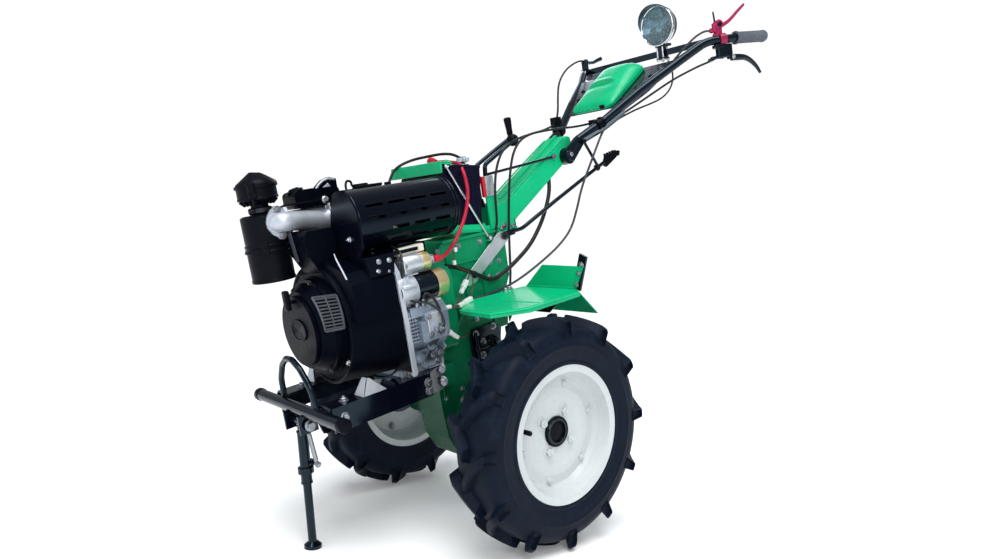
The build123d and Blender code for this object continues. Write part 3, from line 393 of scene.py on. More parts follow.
def obj_from(bm, name, mats, frame_matrix=None, angle=34.0, bevel=0.0, segs=2):
    bmesh.ops.recalc_face_normals(bm, faces=bm.faces)
    if frame_matrix is not None:
        bm.transform(frame_matrix)
    for f in bm.faces:
        f.smooth = True
    lim = math.radians(angle)
    for e in bm.edges:
        e.smooth = not (len(e.link_faces) != 2 or e.calc_face_angle(0.0) > lim)
    me = bpy.data.meshes.new(name)
    bm.to_mesh(me)
    bm.free()
    for mt in (mats if isinstance(mats, (list, tuple)) else [mats]):
        me.materials.append(mt)
    ob = bpy.data.objects.new(name, me)
    SC.collection.objects.link(ob)
    if bevel:
        md = ob.modifiers.new("edge", "BEVEL")
        md.width = bevel
        md.segments = segs
        md.limit_method = "ANGLE"
        md.angle_limit = math.radians(36)
        md.harden_normals = True
    return ob


def cord_tube(name, node, pts, r, length, mat, bodies):
    path, own = line_of(name, pts)
    bm = bmesh.new()
    sweep(bm, path, r, n=14)
    ob = obj_from(bm, name, mat)
    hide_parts(node)
    if len(bodies) == 2:
        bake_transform(ob)
    else:
        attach(ob, bodies[0])
    print("cord", name, "line", round(own, 4), "tube", length)
    return ob, path


HB, CH = "handlebar", "chassis"
clutch, clutch_path = cord_tube("clutch_cable_line", "clutch_cable", R_CLUTCH, 0.0035, 1.336, SHEATH, (HB, CH))
thr, thr_path = cord_tube("throttle_cable_line", "throttle_cable", R_THR, 0.0035, 1.329, SHEATH_GREY,
                          (HB, CH))
far, far_path = cord_tube("far_lever_cable_line", "far_lever_cable", R_FAR, 0.0035, 1.241, SHEATH, (HB, CH))
lampw, lamp_path = cord_tube("lamp_wire_line", "lamp_wire", R_LAMP, 0.003, 0.578, SHEATH, (HB,))
harn, harn_path = cord_tube("wiring_harness_line", "wiring_harness", R_HARN, 0.006, 0.616, SHEATH, (CH,))
red, red_path = cord_tube("battery_red_line", "battery_red_cable", R_RED, 0.005, 0.531, SHEATH_RED, (CH,))
blk, blk_path = cord_tube("battery_black_line", "battery_black_cable", R_BLACK, 0.004, 0.388, SHEATH, (CH,))


# ------------------------------------------------------------------ shapes, in the machine's frame in mm
def frame_of(d):
    d = Vector(d).normalized()
    up = Vector((0, 0, 1)) if abs(d.z) < 0.9 else Vector((1, 0, 0))
    u = d.cross(up).normalized()
    return d, u, d.cross(u)


def lathe(bm, prof, origin, d, n=32, mi=0, closed=True):
    """Turn (along, radius) pairs about the line through origin along d."""
    d, u, v = frame_of(d)
    o = Vector(origin)
    rings = []
    for a, r in prof:
        if r <= 1e-6:
            rings.append([bm.verts.new(o + d * a)])
        else:
            rings.append([bm.verts.new(o + d * a + (u * math.cos(2 * math.pi * k / n) + v * math.sin(2 * math.pi * k / n)) * r)
                          for k in range(n)])
    pairs = list(zip(rings, rings[1:]))
    for a, b in pairs:
        for k in range(n):
            k2 = (k + 1) % n
            if len(a) == 1 and len(b) == 1:
                continue
            if len(a) == 1:
                f = bm.faces.new((a[0], b[k], b[k2]))
            elif len(b) == 1:
                f = bm.faces.new((a[k], b[0], a[k2]))
            else:
                f = bm.faces.new((a[k], b[k], b[k2], a[k2]))
            f.material_index = mi
    if closed:
        if len(rings[0]) > 1:
            bm.faces.new(rings[0]).material_index = mi
        if len(rings[-1]) > 1:
            bm.faces.new(list(reversed(rings[-1]))).material_index = mi


def ring_lathe(bm, prof, origin, d, n=48, mi=0):
    """Turn a closed (along, radius) outline about the line through origin along d."""
    d, u, v = frame_of(d)
    o = Vector(origin)
    rings = [[bm.verts.new(o + d * a + (u * math.cos(2 * math.pi * k / n) + v * math.sin(2 * math.pi * k / n)) * r)
              for k in range(n)] for a, r in prof]
    for a, b in zip(rings, rings[1:] + rings[:1]):
        for k in range(n):
            bm.faces.new((a[k], b[k], b[(k + 1) % n], a[(k + 1) % n])).material_index = mi


def rod(bm, p, q, r, r2=None, n=20, mi=0, ch=0.0):
    p, q = Vector(p), Vector(q)
    L = (q - p).length
    r2 = r if r2 is None else r2
    c = min(ch, r * 0.6, r2 * 0.6)
    prof = [(0, r - c), (c, r), (L - c, r2), (L, r2 - c)] if c else [(0, r), (L, r2)]
    lathe(bm, prof, p, q - p, n=n, mi=mi)


def block(bm, c, size, ax=None, mi=0, ch=0.0):
    """Box about c; ax are three directions; ch chamfers the top and bottom rims."""
    c = Vector(c)
    e = [Vector(a).normalized() for a in ax] if ax else [Vector((1, 0, 0)), Vector((0, 1, 0)), Vector((0, 0, 1))]
    h = [s / 2 for s in size]
    if ch:
        lay = [(-h[2], ch), (-h[2] + ch, 0), (h[2] - ch, 0), (h[2], ch)]
    else:
        lay = [(-h[2], 0), (h[2], 0)]
    rings = []
    for z, k in lay:
        x, y = h[0] - k, h[1] - k
        if ch:
            q = ch
            pts = [(x, -y + q), (x, y - q), (x - q, y), (-x + q, y), (-x, y - q), (-x, -y + q), (-x + q, -y), (x - q, -y)]
        else:
            pts = [(x, -y), (x, y), (-x, y), (-x, -y)]
        rings.append([bm.verts.new(c + e[0] * a + e[1] * b + e[2] * z) for a, b in pts])
    n = len(rings[0])
    for a, b in zip(rings, rings[1:]):
        for k in range(n):
            bm.faces.new((a[k], a[(k + 1) % n], b[(k + 1) % n], b[k])).material_index = mi
    bm.faces.new(list(reversed(rings[0]))).material_index = mi
    bm.faces.new(rings[-1]).material_index = mi


def plate(bm, pts, vec, mi=0):
    """Flat plate: outline pts, thickness vec."""
    vec = Vector(vec)
    a = [bm.verts.new(Vector(p)) for p in pts]
    b = [bm.verts.new(Vector(p) + vec) for p in pts]
    n = len(a)
    bm.faces.new(list(reversed(a))).material_index = mi
    bm.faces.new(b).material_index = mi
    for k in range(n):
        bm.faces.new((a[k], a[(k + 1) % n], b[(k + 1) % n], b[k])).material_index = mi


def hexbolt(bm, p, d, af=13.0, h=5.5, washer=True, stub=0.0, mi=0, turn=0.0):
    """Hexagon head on a washer, seated at p and standing up along d; stub adds the thread end of a bolt through a nut."""
    d, u, v = frame_of(d)
    p = Vector(p)
    z = 0.0
    if washer:
        lathe(bm, [(-0.6, af * 0.86), (1.2, af * 0.86), (1.7, af * 0.80)], p, d, n=24, mi=mi)
        z = 1.4
    R = af / math.sqrt(3)
    rings = []
    for a, k in ((z, 1.0), (z + h * 0.8, 1.0), (z + h, 0.86)):
        rings.append([bm.verts.new(p + d * a + (u * math.cos(turn + math.pi * j / 3) + v * math.sin(turn + math.pi * j / 3)) * R * k)
                      for j in range(6)])
    for a, b in zip(rings, rings[1:]):
        for k in range(6):
            bm.faces.new((a[k], b[k], b[(k + 1) % 6], a[(k + 1) % 6])).material_index = mi
    bm.faces.new(rings[0]).material_index = mi
    bm.faces.new(list(reversed(rings[-1]))).material_index = mi
    if stub:
        rod(bm, p + d * (z + h * 0.5), p + d * (z + h + stub), af * 0.27, af * 0.24, n=12, mi=mi, ch=0.6)


def piece(bm, name, mats, body, bevel=0.0, segs=2, angle=34.0, replaces=()):
    ob = obj_from(bm, name, mats, STAND, angle=angle, bevel=bevel, segs=segs)
    if replaces:
        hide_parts(*replaces)
    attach(ob, body)
    return ob


def smooth_line(pts, per=8):
    """Catmull-Rom line through pts, for short wires and bent rods that are part of a fitting."""
    pts = [Vector(p) for p in pts]
    ext = [pts[0] * 2 - pts[1]] + pts + [pts[-1] * 2 - pts[-2]]
    out = []
    for a, b, c, d in zip(ext, ext[1:], ext[2:], ext[3:]):
        for k in range(per):
            t = k / per
            out.append(0.5 * ((2 * b) + (c - a) * t + (2 * a - 5 * b + 4 * c - d) * t * t + (3 * b - a - 3 * c + d) * t ** 3))
    out.append(pts[-1])
    return out


# ------------------------------------------------------------------ wheels
def wheel_pt(side, s, r, deg):
    a = math.radians(deg)
    return Vector((r * math.cos(a), side * (344.0 + s), 290.0 + r * math.sin(a)))


def tyre(side):
    bm = bmesh.new()
    half = [(49, 152.9), (54.8, 158.5), (55.4, 165), (56.6, 168.0), (59.0, 170.6), (60.6, 174.5), (60.6, 178.5), (59.2, 181.6),
            (60.0, 185), (62.6, 196), (64.6, 208), (65.4, 214.6), (66.2, 216.2), (66.2, 218.4), (65.4, 220.0), (65.0, 228),
            (64.0, 236), (61.6, 245), (57.4, 253), (50.5, 259.3), (40, 263.6), (24, 266.4), (8, 267.6)]
    inner = [(-38, 152.2), (-41, 168), (-50, 192), (-53.0, 216), (-52.0, 240), (-44, 254), (-26, 260), (0, 262)]
    prof = half + [(-s, r) for s, r in reversed(half)] + inner + [(-s, r) for s, r in reversed(inner[:-1])]
    ring_lathe(bm, prof, (0, side * 344.0, 290), (0, side, 0), n=160)
    # lugs: two rows, staggered, each sweeping from the shoulder to just past the middle
    M_ = 13
    for row in (1, -1):
        for k in range(12):
            base = 8.5 + 30 * k + (0 if row > 0 else 15)
            prev = None
            first = None
            for i in range(M_ + 1):
                t = i / M_
                if i == 0:
                    s, rt, rb = 65.6, 276.0, 238.0
                elif i == 1:
                    s, rt, rb = 61.8, 281.6, 243.0
                else:
                    tt = (i - 1) / (M_ - 1)
                    s = 61.8 - 67.8 * tt
                    crown = 290.0 - 6.6 * (max(0.0, s) / 62.0) ** 2.6
                    rt, rb = crown, 262.0 if s < 46 else 262.0 - (s - 46) * 0.9
                tt = max(0.0, (i - 1) / (M_ - 1))
                off = -15.0 * (0.22 * tt + 0.78 * tt ** 1.7)
                wt = math.degrees((9.2 - 1.6 * tt) / 285.0)
                wb = math.degrees((15.0 - 1.0 * tt) / 262.0)
                if i == M_:
                    wt *= 0.92
                # slant of the path: widen along the travel direction so that the bar keeps its thickness
                slope = 0.22 + 0.78 * 1.7 * (tt ** 0.7 if tt > 0 else 0.0)
                k2 = math.sqrt(1 + (slope * 15.0 / 67.8 * 4.9) ** 2)
                wt, wb = wt * (0.55 + 0.45 * k2), wb * (0.6 + 0.4 * k2)
                mid = rt - 2.2
                sec = [(-wb, rb), (-wt * 1.12, mid), (-wt * 0.86, rt), (wt * 0.86, rt), (wt * 1.12, mid), (wb, rb)]
                ring = [bm.verts.new(wheel_pt(side, row * s, r, base + off + da)) for da, r in sec]
                if prev:
                    for j in range(6):
                        bm.faces.new((prev[j], prev[(j + 1) % 6], ring[(j + 1) % 6], ring[j]))
                else:
                    first = bm.faces.new(list(reversed(ring)))
                prev = ring
            bm.faces.new(prev)
            # pocket moulded into the lug's outer end
            r1 = bmesh.ops.inset_individual(bm, faces=[first], thickness=4.2, depth=0.0, use_even_offset=True)
            r2 = bmesh.ops.inset_individual(bm, faces=[first], thickness=1.4, depth=-8.5, use_even_offset=True)
    ob = piece(bm, ("left" if side > 0 else "right") + "_tyre_lugged", TYRE, ("left" if side > 0 else "right") + "_wheel",
               bevel=0.0011, segs=2, angle=30, replaces=(("left" if side > 0 else "right") + "_tyre",))
    return ob


def wheel_fittings(side):
    nm = "left" if side > 0 else "right"
    body = nm + "_wheel"
    out = Vector((0, side, 0))
    bm = bmesh.new()
    for k in range(6):
        hexbolt(bm, wheel_pt(side, 13.6, 119, -7 + 60 * k), out, af=14, h=7, turn=0.4 * k, stub=3.5)
    for k in range(4):
        hexbolt(bm, wheel_pt(side, 13.9, 54, 40 + 90 * k), out, af=19, h=9.5, turn=0.3 + 0.5 * k, stub=3.0)
    piece(bm, nm + "_wheel_bolts", CREAM, body, bevel=0.0004)
    # inboard nuts of the rim bolts
    bm = bmesh.new()
    for k in range(6):
        hexbolt(bm, wheel_pt(side, 9.6, 119, -7 + 60 * k), -out, af=14, h=8, turn=0.2 * k, stub=4)
    for k in range(4):
        hexbolt(bm, wheel_pt(side, -0.5, 54, 40 + 90 * k), -out, af=19, h=9, turn=0.2 * k, stub=5)
    piece(bm, nm + "_wheel_nuts", BOLT, body, bevel=0.0003)
    # hub cap: shallow ring with a glossy domed plug sunk in it
    bm = bmesh.new()
    o_ = (0, side * 344.0, 290)
    ring_lathe(bm, [(13.4, 38.2), (19.6, 37.9), (21.2, 36.6), (21.2, 34.0), (19.4, 32.6), (11.0, 32.2), (11.0, 35.0)], o_, out, n=64)
    lathe(bm, [(10.0, 32.4), (13.6, 31.6), (15.6, 29.0), (17.0, 21.0), (17.8, 10.0), (18.0, 0)], o_, out, n=64, closed=False)
    piece(bm, nm + "_hub_cap", PL_BLACK, body, bevel=0.0004)
    # valve stem with its cap
    bm = bmesh.new()
    p0 = wheel_pt(side, 9, 127, 21.4)
    lathe(bm, [(0, 7.8), (3.5, 7.6), (8, 6.0), (14, 5.6), (27, 5.4), (28, 6.2), (46.0, 6.0), (47.4, 4.8), (47.4, 0)], p0, out, n=24)
    piece(bm, nm + "_valve", PL_BLACK, body, bevel=0.0002)
    # rolled bead on each side of the rim
    bm = bmesh.new()
    for s0, r0, rr in ((58.2, 168.6, 2.0),):
        prof = [(s0 + rr * math.cos(a), r0 + rr * math.sin(a)) for a in [2 * math.pi * j / 12 for j in range(12)]]
        ring_lathe(bm, prof, (0, side * 344.0, 290), out, n=120)
        prof = [(-s0 + rr * math.cos(a), r0 + rr * math.sin(a)) for a in [2 * math.pi * j / 12 for j in range(12)]]
        ring_lathe(bm, prof, (0, side * 344.0, 290), out, n=120)
    piece(bm, nm + "_rim_bead", CREAM, body)


for sd in (1, -1):
    tyre(sd)
    wheel_fittings(sd)


# ------------------------------------------------------------------ stand springs and stand
def helix(p, q, R, turns, lead=6, n=12):
    p, q = Vector(p), Vector(q)
    d, u, v = frame_of(q - p)
    L = (q - p).length
    out = [p]
    m = int(turns * n)
    for i in range(m + 1):
        t = i / m
        a = 2 * math.pi * turns * t
        out.append(p + d * (lead + (L - 2 * lead) * t) + (u * math.cos(a) + v * math.sin(a)) * R)
    out.append(q)
    return out


bm = bmesh.new()
for y in (25, -25):
    sweep(bm, helix((483, y, 415), (477.2, y, 320), 4.5, 26, n=11), 1.45, n=6)
    for z0, x0 in ((417.0, 483.4), (319.6, 477.0)):
        loop = [Vector((x0 + 5.0 * math.cos(a), y, z0 + 5.0 * math.sin(a))) for a in [math.pi * j / 8 for j in range(0, 15)]]
        sweep(bm, loop, 1.4, n=6)
piece(bm, "stand_coil_springs", GALV, "front_stand", replaces=("stand_springs",))

leg_a, leg_b = Vector((484, 0, 424)), Vector((517, 0, 116))
ld = (leg_b - leg_a).normalized()
bm = bmesh.new()
for s0, r0 in ((24, 14.2), (150, 14.0)):
    lathe(bm, [(-3.0, r0 - 2.2), (-2.2, r0), (2.2, r0), (3.0, r0 - 2.2)], leg_a + ld * s0, ld, n=32)
lathe(bm, [(-8, 17.4), (-7.0, 19.0), (7.0, 19.0), (8, 17.4)], leg_a + ld * 119, ld, n=32)
piece(bm, "stand_collars", BLACK, "front_stand", bevel=0.0003)
bm = bmesh.new()
hexbolt(bm, (484, 50, 424), (0, 1, 0), af=17, h=8, turn=0.3)
hexbolt(bm, (484, -50, 424), (0, -1, 0), af=17, h=9, turn=0.1, stub=5)
hexbolt(bm, (477, 31, 318), (0, 1, 0), af=9, h=4)
hexbolt(bm, (477, -31, 318), (0, -1, 0), af=9, h=4)
piece(bm, "stand_bolts", BOLT, "front_stand", bevel=0.0003)

# ------------------------------------------------------------------ front tube, rails, gussets
bm = bmesh.new()
for s in (1, -1):
    lathe(bm, [(-16, 14.2), (-16, 16.6), (-1, 16.6), (1.6, 15.6), (3.0, 12.5), (3.4, 0)], (485, s * 229.5, 457), (0, s, 0), n=36)
piece(bm, "front_tube_end_caps", PL_BLACK, "chassis", bevel=0.0004)
bm = bmesh.new()
for s in (1, -1):
    # weld beads where the rails and the hoop meet the cross tube
    sweep(bm, smooth_line([(469.5, s * 142, 472), (470, s * 118, 473.5), (470, s * 92, 473)]), 2.6, n=8)
    sweep(bm, smooth_line([(471, s * 142, 470), (471, s * 143.6, 450), (471.5, s * 142, 432)]), 2.6, n=8)
    lathe(bm, [(-1.5, 8.5), (1.0, 10.0), (3.4, 8.4)], (477.4, s * 87.7, 466), (0.02, -0.17 * s, 1), n=20)
piece(bm, "front_weld_beads", BLACK, "chassis")
bm = bmesh.new()
for s in (1, -1):
    plate(bm, [(372, s * 145.0, 517), (362, s * 145.0, 514), (322, s * 145.0, 474.5), (388, s * 145.0, 474.5)], (0, -s * 5, 0))
    plate(bm, [(372, s * 126.0, 517), (372, s * 145.0, 517), (388, s * 145.0, 475), (388, s * 104.0, 475)], (-4, 0, -1))
piece(bm, "rail_gussets", GALV, "chassis", bevel=0.0008)
bm = bmesh.new()
for s in (1, -1):
    for x, z in ((205, 452), (205, 432), (440, 446)):
        hexbolt(bm, (x, s * 145.0, z), (0, s, 0), af=14, h=6, turn=0.2 * x)
    for z in (463, 428):
        hexbolt(bm, (136, s * 106, z), (0.70, s * 0.71, 0), af=16, h=8, stub=5, turn=z)
    for x in (236, 330, 420):
        hexbolt(bm, (x, s * 112.0, 474.0), (0, 0, 1), af=14, h=6, stub=4, turn=x)
piece(bm, "rail_bolts", BOLT, "chassis", bevel=0.0003)
# engine feet on the rails
bm = bmesh.new()
for s in (1, -1):
    for x in (226, 160):
        block(bm, (x, s * 106, 476.5), (34, 22, 5), ch=1.5)
piece(bm, "engine_feet", CAST_DARK, "chassis", bevel=0.0005)

# ------------------------------------------------------------------ blower housing and recoil cover
bm = bmesh.new()
# cast back plate of the housing: light edge along its outline
arc = [Vector((256, 172 * math.cos(a), 636 + 172 * math.sin(a))) for a in [math.radians(-52 + 4.5 * j) for j in range(14)]]
line = [Vector((256, 168, 492)), Vector((256, 172, 500)), Vector((256, 172, 560)), Vector((256, 172, 620)), Vector((256, 170, 652)), Vector((256, 169, 700)), Vector((256, 168, 738)), Vector((256, 150, 764)), Vector((256, 104, 778)),
              Vector((256, 62, 790))]
sec_in = [Vector((p.x, p.y * 0.972 - 0.0, 636 + (p.z - 636) * 0.972)) for p in line]
va = [[bm.verts.new(Vector((x, q.y, q.z))) for q, x in ((p, 250.0), (o, 250.0), (o, 262.5), (p, 262.5))] for p, o in
      zip([Vector((p.x, p.y + 6.0 * (p.y / 172), p.z + 5.0 * (p.z - 636) / 172)) for p in line], sec_in)]
for a, b in zip(va, va[1:]):
    for k in range(4):
        bm.faces.new((a[k], a[(k + 1) % 4], b[(k + 1) % 4], b[k]))
bm.faces.new(list(reversed(va[0])))
bm.faces.new(va[-1])
piece(bm, "housing_back_plate", CAST_AL, "chassis", bevel=0.0008)

bm = bmesh.new()
# rolled front rim of the drum and the ring that carries the recoil cover
ring_lathe(bm, [(384, 148.5), (388.5, 147.5), (389.5, 144), (388, 140), (384, 139)], (0, 0, 636), (1, 0, 0), n=96)
ring_lathe(bm, [(386, 121.5), (390, 121.0), (391, 117), (386, 116)], (0, 0, 636), (1, 0, 0), n=96)
ring_lathe(bm, [(258, 173.4), (264, 173.2), (266, 170.4), (258, 168)], (0, 0, 636), (1, 0, 0), n=96)
piece(bm, "drum_rims", BLACK_CAST, "chassis", bevel=0.0005)

bm = bmesh.new()
# recoil cover: raised oval pad
m = 36
pad_c = Vector((446, 6, 640))
for (x, k) in ((445.8, 1.0),):
    rings = []
    for dx, kk in ((0.0, 1.0), (2.6, 1.0), (3.8, 0.95), (3.8, 0.86), (2.4, 0.80), (2.4, 0.0)):
        if kk == 0.0:
            rings.append([bm.verts.new(pad_c + Vector((dx - 0.2, 0, 0)))])
        else:
            rings.append([bm.verts.new(pad_c + Vector((dx - 0.2, 40 * kk * math.cos(2 * math.pi * j / m), 27 * kk * math.sin(2 * math.pi * j / m))))
                          for j in range(m)])
    for a, b in zip(rings, rings[1:]):
        for j in range(m):
            if len(b) == 1:
                bm.faces.new((a[j], a[(j + 1) % m], b[0]))
            else:
                bm.faces.new((a[j], a[(j + 1) % m], b[(j + 1) % m], b[j]))
    bm.faces.new(list(reversed(rings[0])))
piece(bm, "recoil_plain_badge", BLACK_CAST, "chassis", bevel=0.0004)

# grille on the slope between the recoil cover and the drum: level slats in two banks, rails at their ends
def slope_pt(t, u, lift=0.0):
    """t: 0 at the lowest slat, 1 at the highest; u: 0 at the cover, 1 at the drum."""
    z = 646.0 + 68.0 * t
    r = 109.0 + (20.0 + 13.0 * t) * u + lift
    x = 430.0 - 38.0 * u + lift * 0.6
    return Vector((x, math.sqrt(max(1.0, r * r - (z - 636.0) ** 2)), z))


bm = bmesh.new()
for k in range(10):
    t = k / 9
    for u0, u1 in ((0.04, 0.47), (0.53, 0.96)):
        sweep(bm, [slope_pt(t, u0 + (u1 - u0) * j / 4, 1.2) for j in range(5)], 2.3, n=8)
for u, r_ in ((0.0, 3.0), (0.5, 2.0), (1.0, 3.0)):
    sweep(bm, [slope_pt(-0.06 + 1.12 * j / 14, u, 1.4) for j in range(15)], r_, n=8)
for t in (-0.07, 1.07):
    sweep(bm, [slope_pt(t, j / 5, 1.4) for j in range(6)], 3.0, n=8)
piece(bm, "recoil_grille", SLATS, "chassis")
bm = bmesh.new()
grid = [[bm.verts.new(slope_pt(-0.10 + 1.2 * i / 14, -0.06 + 1.12 * j / 6, -3.2)) for j in range(7)] for i in range(15)]
low = [[bm.verts.new(slope_pt(-0.10 + 1.2 * i / 14, -0.06 + 1.12 * j / 6, -12.0) + Vector((-4, 0, 0))) for j in range(7)] for i in range(15)]
for g, flip in ((grid, False), (low, True)):
    for i in range(14):
        for j in range(6):
            q = (g[i][j], g[i + 1][j], g[i + 1][j + 1], g[i][j + 1])
            bm.faces.new(tuple(reversed(q)) if flip else q)
edge = [(i, 0) for i in range(15)] + [(14, j) for j in range(1, 7)] + [(i, 6) for i in range(13, -1, -1)] + [(0, j) for j in range(5, 0, -1)]
for (i, j), (i2, j2) in zip(edge, edge[1:] + edge[:1]):
    bm.faces.new((grid[i][j], low[i][j], low[i2][j2], grid[i2][j2]))
bmesh.ops.recalc_face_normals(bm, faces=bm.faces)
piece(bm, "recoil_grille_back", BLACK_CAST, "chassis", bevel=0.0008)
bm = bmesh.new()
for a in (75, 130, 185, 240, 300):
    t = math.radians(a)
    hexbolt(bm, (408, 114 * math.cos(t), 636 + 114 * math.sin(t)), (1, 0, 0), af=8, h=4, turn=a)
for a in (150, 215):
    t = math.radians(a)
    hexbolt(bm, (386, 134 * math.cos(t), 636 + 134 * math.sin(t)), (1, 0, 0), af=8, h=4, turn=a)
hexbolt(bm, (318, 150, 781), (0, 0, -1), af=8, h=5)
piece(bm, "cover_bolts", BOLT_BLACK, "chassis", bevel=0.0003)
bm = bmesh.new()
hexbolt(bm, (328, 108, 834), (1, 0, 0), af=9, h=5, stub=3)
t = math.radians(-38)
hexbolt(bm, (386, 134 * math.cos(t), 636 + 134 * math.sin(t)), (1, 0, 0), af=9, h=5)
piece(bm, "cover_screws", ZINC, "chassis", bevel=0.0003)

# trim strips standing on the duct and the drum
bm = bmesh.new()
sweep(bm, smooth_line([(387, 134, 812), (388, 141, 800), (388, 158, 776), (387, 171, 754)]), [1.4] * 8 + [2.0] * 16 + [1.4], n=8)
piece(bm, "duct_strip", CAST_AL, "chassis")
bm = bmesh.new()
plate(bm, [(411.5, -32, 868), (411.5, -12, 868), (411.5, 4, 798), (411.5, -12, 798)], (2.2, 0, 0))
plate(bm, [(399, -42, 892), (399, -18, 892), (411.6, -12, 868), (411.6, -32, 868)], (2.2, 0, 1.4))
piece(bm, "elbow_brace", SLATS, "chassis", bevel=0.0006)
# pressed ribs on the drum and duct
bm = bmesh.new()
for yy in (-24, 2, 28):
    sweep(bm, [Vector((411, yy - 10, 822)), Vector((411.2, yy + 8, 822))], 2.0, n=8)
    sweep(bm, [Vector((411, yy - 10, 840)), Vector((411.2, yy + 8, 840))], 2.0, n=8)
piece(bm, "duct_ribs", BLACK_CAST, "chassis")

# ------------------------------------------------------------------ muffler guard
bm = bmesh.new()
def d_loop(x, r, flat):
    """Outline of the guard: a circle with its far side cut flat."""
    t0 = math.acos((flat - 80.0) / r)
    arc_ = [Vector((x, 80 + r * math.cos(-t0 + 2 * t0 * j / 64), 871 + r * math.sin(-t0 + 2 * t0 * j / 64))) for j in range(65)]
    lo, hi = arc_[0], arc_[-1]
    return arc_ + [hi.lerp(lo, j / 12) for j in range(1, 13)]


for x0 in (34, 44, 318.5):
    sweep(bm, d_loop(x0, 75.2, 33.8), 1.9 if x0 < 100 else 2.4, n=8)
# pressed lip above each slot
for ang, ks in ((27, (0, 1, 2, 3)), (4, (0, 1, 2, 3)), (-20, (1, 2, 3)), (-46, (1, 2, 3))):
    for k in ks:
        xc = 271 - k * 62
        for da, rr, up in ((3.6, 1.35, 1.0), (-3.6, 0.95, 0.4)):
            a = math.radians(ang + da)
            y, z = 80 + (74.6 + up * 0.6) * math.cos(a), 871 + (74.6 + up * 0.6) * math.sin(a)
            sweep(bm, [Vector((xc - 23.5, y, z)), Vector((xc - 20, y, z + 0.2)), Vector((xc + 20, y, z + 0.2)), Vector((xc + 23.5, y, z))],
                  [0.5, rr, rr, 0.5], n=8)
piece(bm, "guard_rims_and_lips", BLACK_SHEET, "chassis", bevel=0.0003)
bm = bmesh.new()
# half-round outlet shield below the guard
half = [Vector((228 + 17 * math.cos(a), 131.5, 834 + 17 * math.sin(a))) for a in [math.pi * j / 12 for j in range(13)]]
plate(bm, [Vector((p.x, 134.0, p.z)) for p in half], (0, 3.5, 0))
sweep(bm, [Vector((p.x, 137, p.z)) for p in half], 1.5, n=8)
piece(bm, "outlet_shield", CAST_AL, "chassis", bevel=0.0005)
# bracket and bolts under the guard
bm = bmesh.new()
plate(bm, [(322, 106, 789), (322, 158, 789), (322, 166, 742), (322, 112, 742)], (5, 0, 0))
plate(bm, [(250, 159, 789), (326, 159, 789), (326, 168, 744), (262, 168, 744)], (0, 3.5, 0.8))
piece(bm, "guard_bracket", BLACK_SHEET, "chassis", bevel=0.0008)
bm = bmesh.new()
for x, z in ((296, 776), (268, 774)):
    hexbolt(bm, (x, 164.5, z), (0, 1, 0.1), af=7.5, h=3.5, turn=x)
hexbolt(bm, (303, 168.0, 754), (0, 1, 0.1), af=7.5, h=3.5)
hexbolt(bm, (276, 168.0, 750), (0, 1, 0.1), af=6.5, h=3)
piece(bm, "guard_bracket_bolts", ZINC, "chassis", bevel=0.0003)
bm = bmesh.new()
# bright nose housing let into the side of the blower case
rings = []
for x, r, sl in ((228, 17.0, 0), (230, 19.0, 0), (246, 19.0, 0), (258, 18.6, 0), (261, 16.6, 0), (260, 12.5, 0), (258, 0, 0)):
    if r == 0:
        rings.append([bm.verts.new(Vector((x, 160, 711)))])
    else:
        rings.append([bm.verts.new(Vector((x + sl * math.sin(2 * math.pi * j / 40), 160 + r * math.cos(2 * math.pi * j / 40), 711 + r * math.sin(2 * math.pi * j / 40))))
                      for j in range(40)])
for a_, b_ in zip(rings, rings[1:]):
    for j in range(40):
        if len(b_) == 1:
            bm.faces.new((a_[j], a_[(j + 1) % 40], b_[0]))
        else:
            bm.faces.new((a_[j], a_[(j + 1) % 40], b_[(j + 1) % 40], b_[j]))
bm.faces.new(list(reversed(rings[0])))
bmesh.ops.recalc_face_normals(bm, faces=bm.faces)
ring_lathe(bm, [(238, 18.6), (240, 20.4), (243, 20.4), (245, 18.6)], (0, 160, 711), (1, 0, 0), n=40)
piece(bm, "nose_housing", CAST_AL, "chassis", bevel=0.0006)

# ------------------------------------------------------------------ crankcase, pump, starter
bm = bmesh.new()
for k in range(8):
    block(bm, (238, 160, 566 + 8.6 * k), (32, 22, 3.4), ch=0.8)
for k in range(5):
    block(bm, (226 + 7.5 * k, 158, 604), (3.0, 20, 74), ch=0.8)
block(bm, (182, 166, 598), (46, 30, 66), ch=3.0)
block(bm, (205, 156, 636), (62, 26, 26), ch=2.0)
lathe(bm, [(0, 14), (8, 14), (9, 12.5), (13, 12.5), (14, 11)], (212, 128, 514), (0, 1, 0.5), n=28)
lathe(bm, [(0, 17), (5, 17), (6, 15.5), (9, 9), (10, 8)], (246, 128, 538), (0, 1, 0.4), n=28)
lathe(bm, [(0, 10), (9, 10), (10, 8.5)], (172, 128, 533), (0, 1, 0.5), n=24)
block(bm, (200, 128, 528), (92, 14, 5), ((1, 0, 0), (0, 1, 0.8), (0, -0.8, 1)), ch=1.0)
for x in (128, 156, 184, 212, 240):
    block(bm, (x, 110, 522), (4.5, 40, 34), ((1, 0, 0), (0, 1, 0.9), (0, -0.9, 1)), ch=1.0)
# base flange, with its thick near edge
block(bm, (187, 101, 481), (136, 6, 24), ch=1.6)
block(bm, (187, -101, 481), (136, 6, 24), ch=1.6)
lathe(bm, [(0, 11), (4, 11), (5, 10)], (183, 103.5, 486), (0, 1, 0), n=28)
piece(bm, "crankcase_castings", CAST_DARK, "chassis", bevel=0.0012, segs=2)

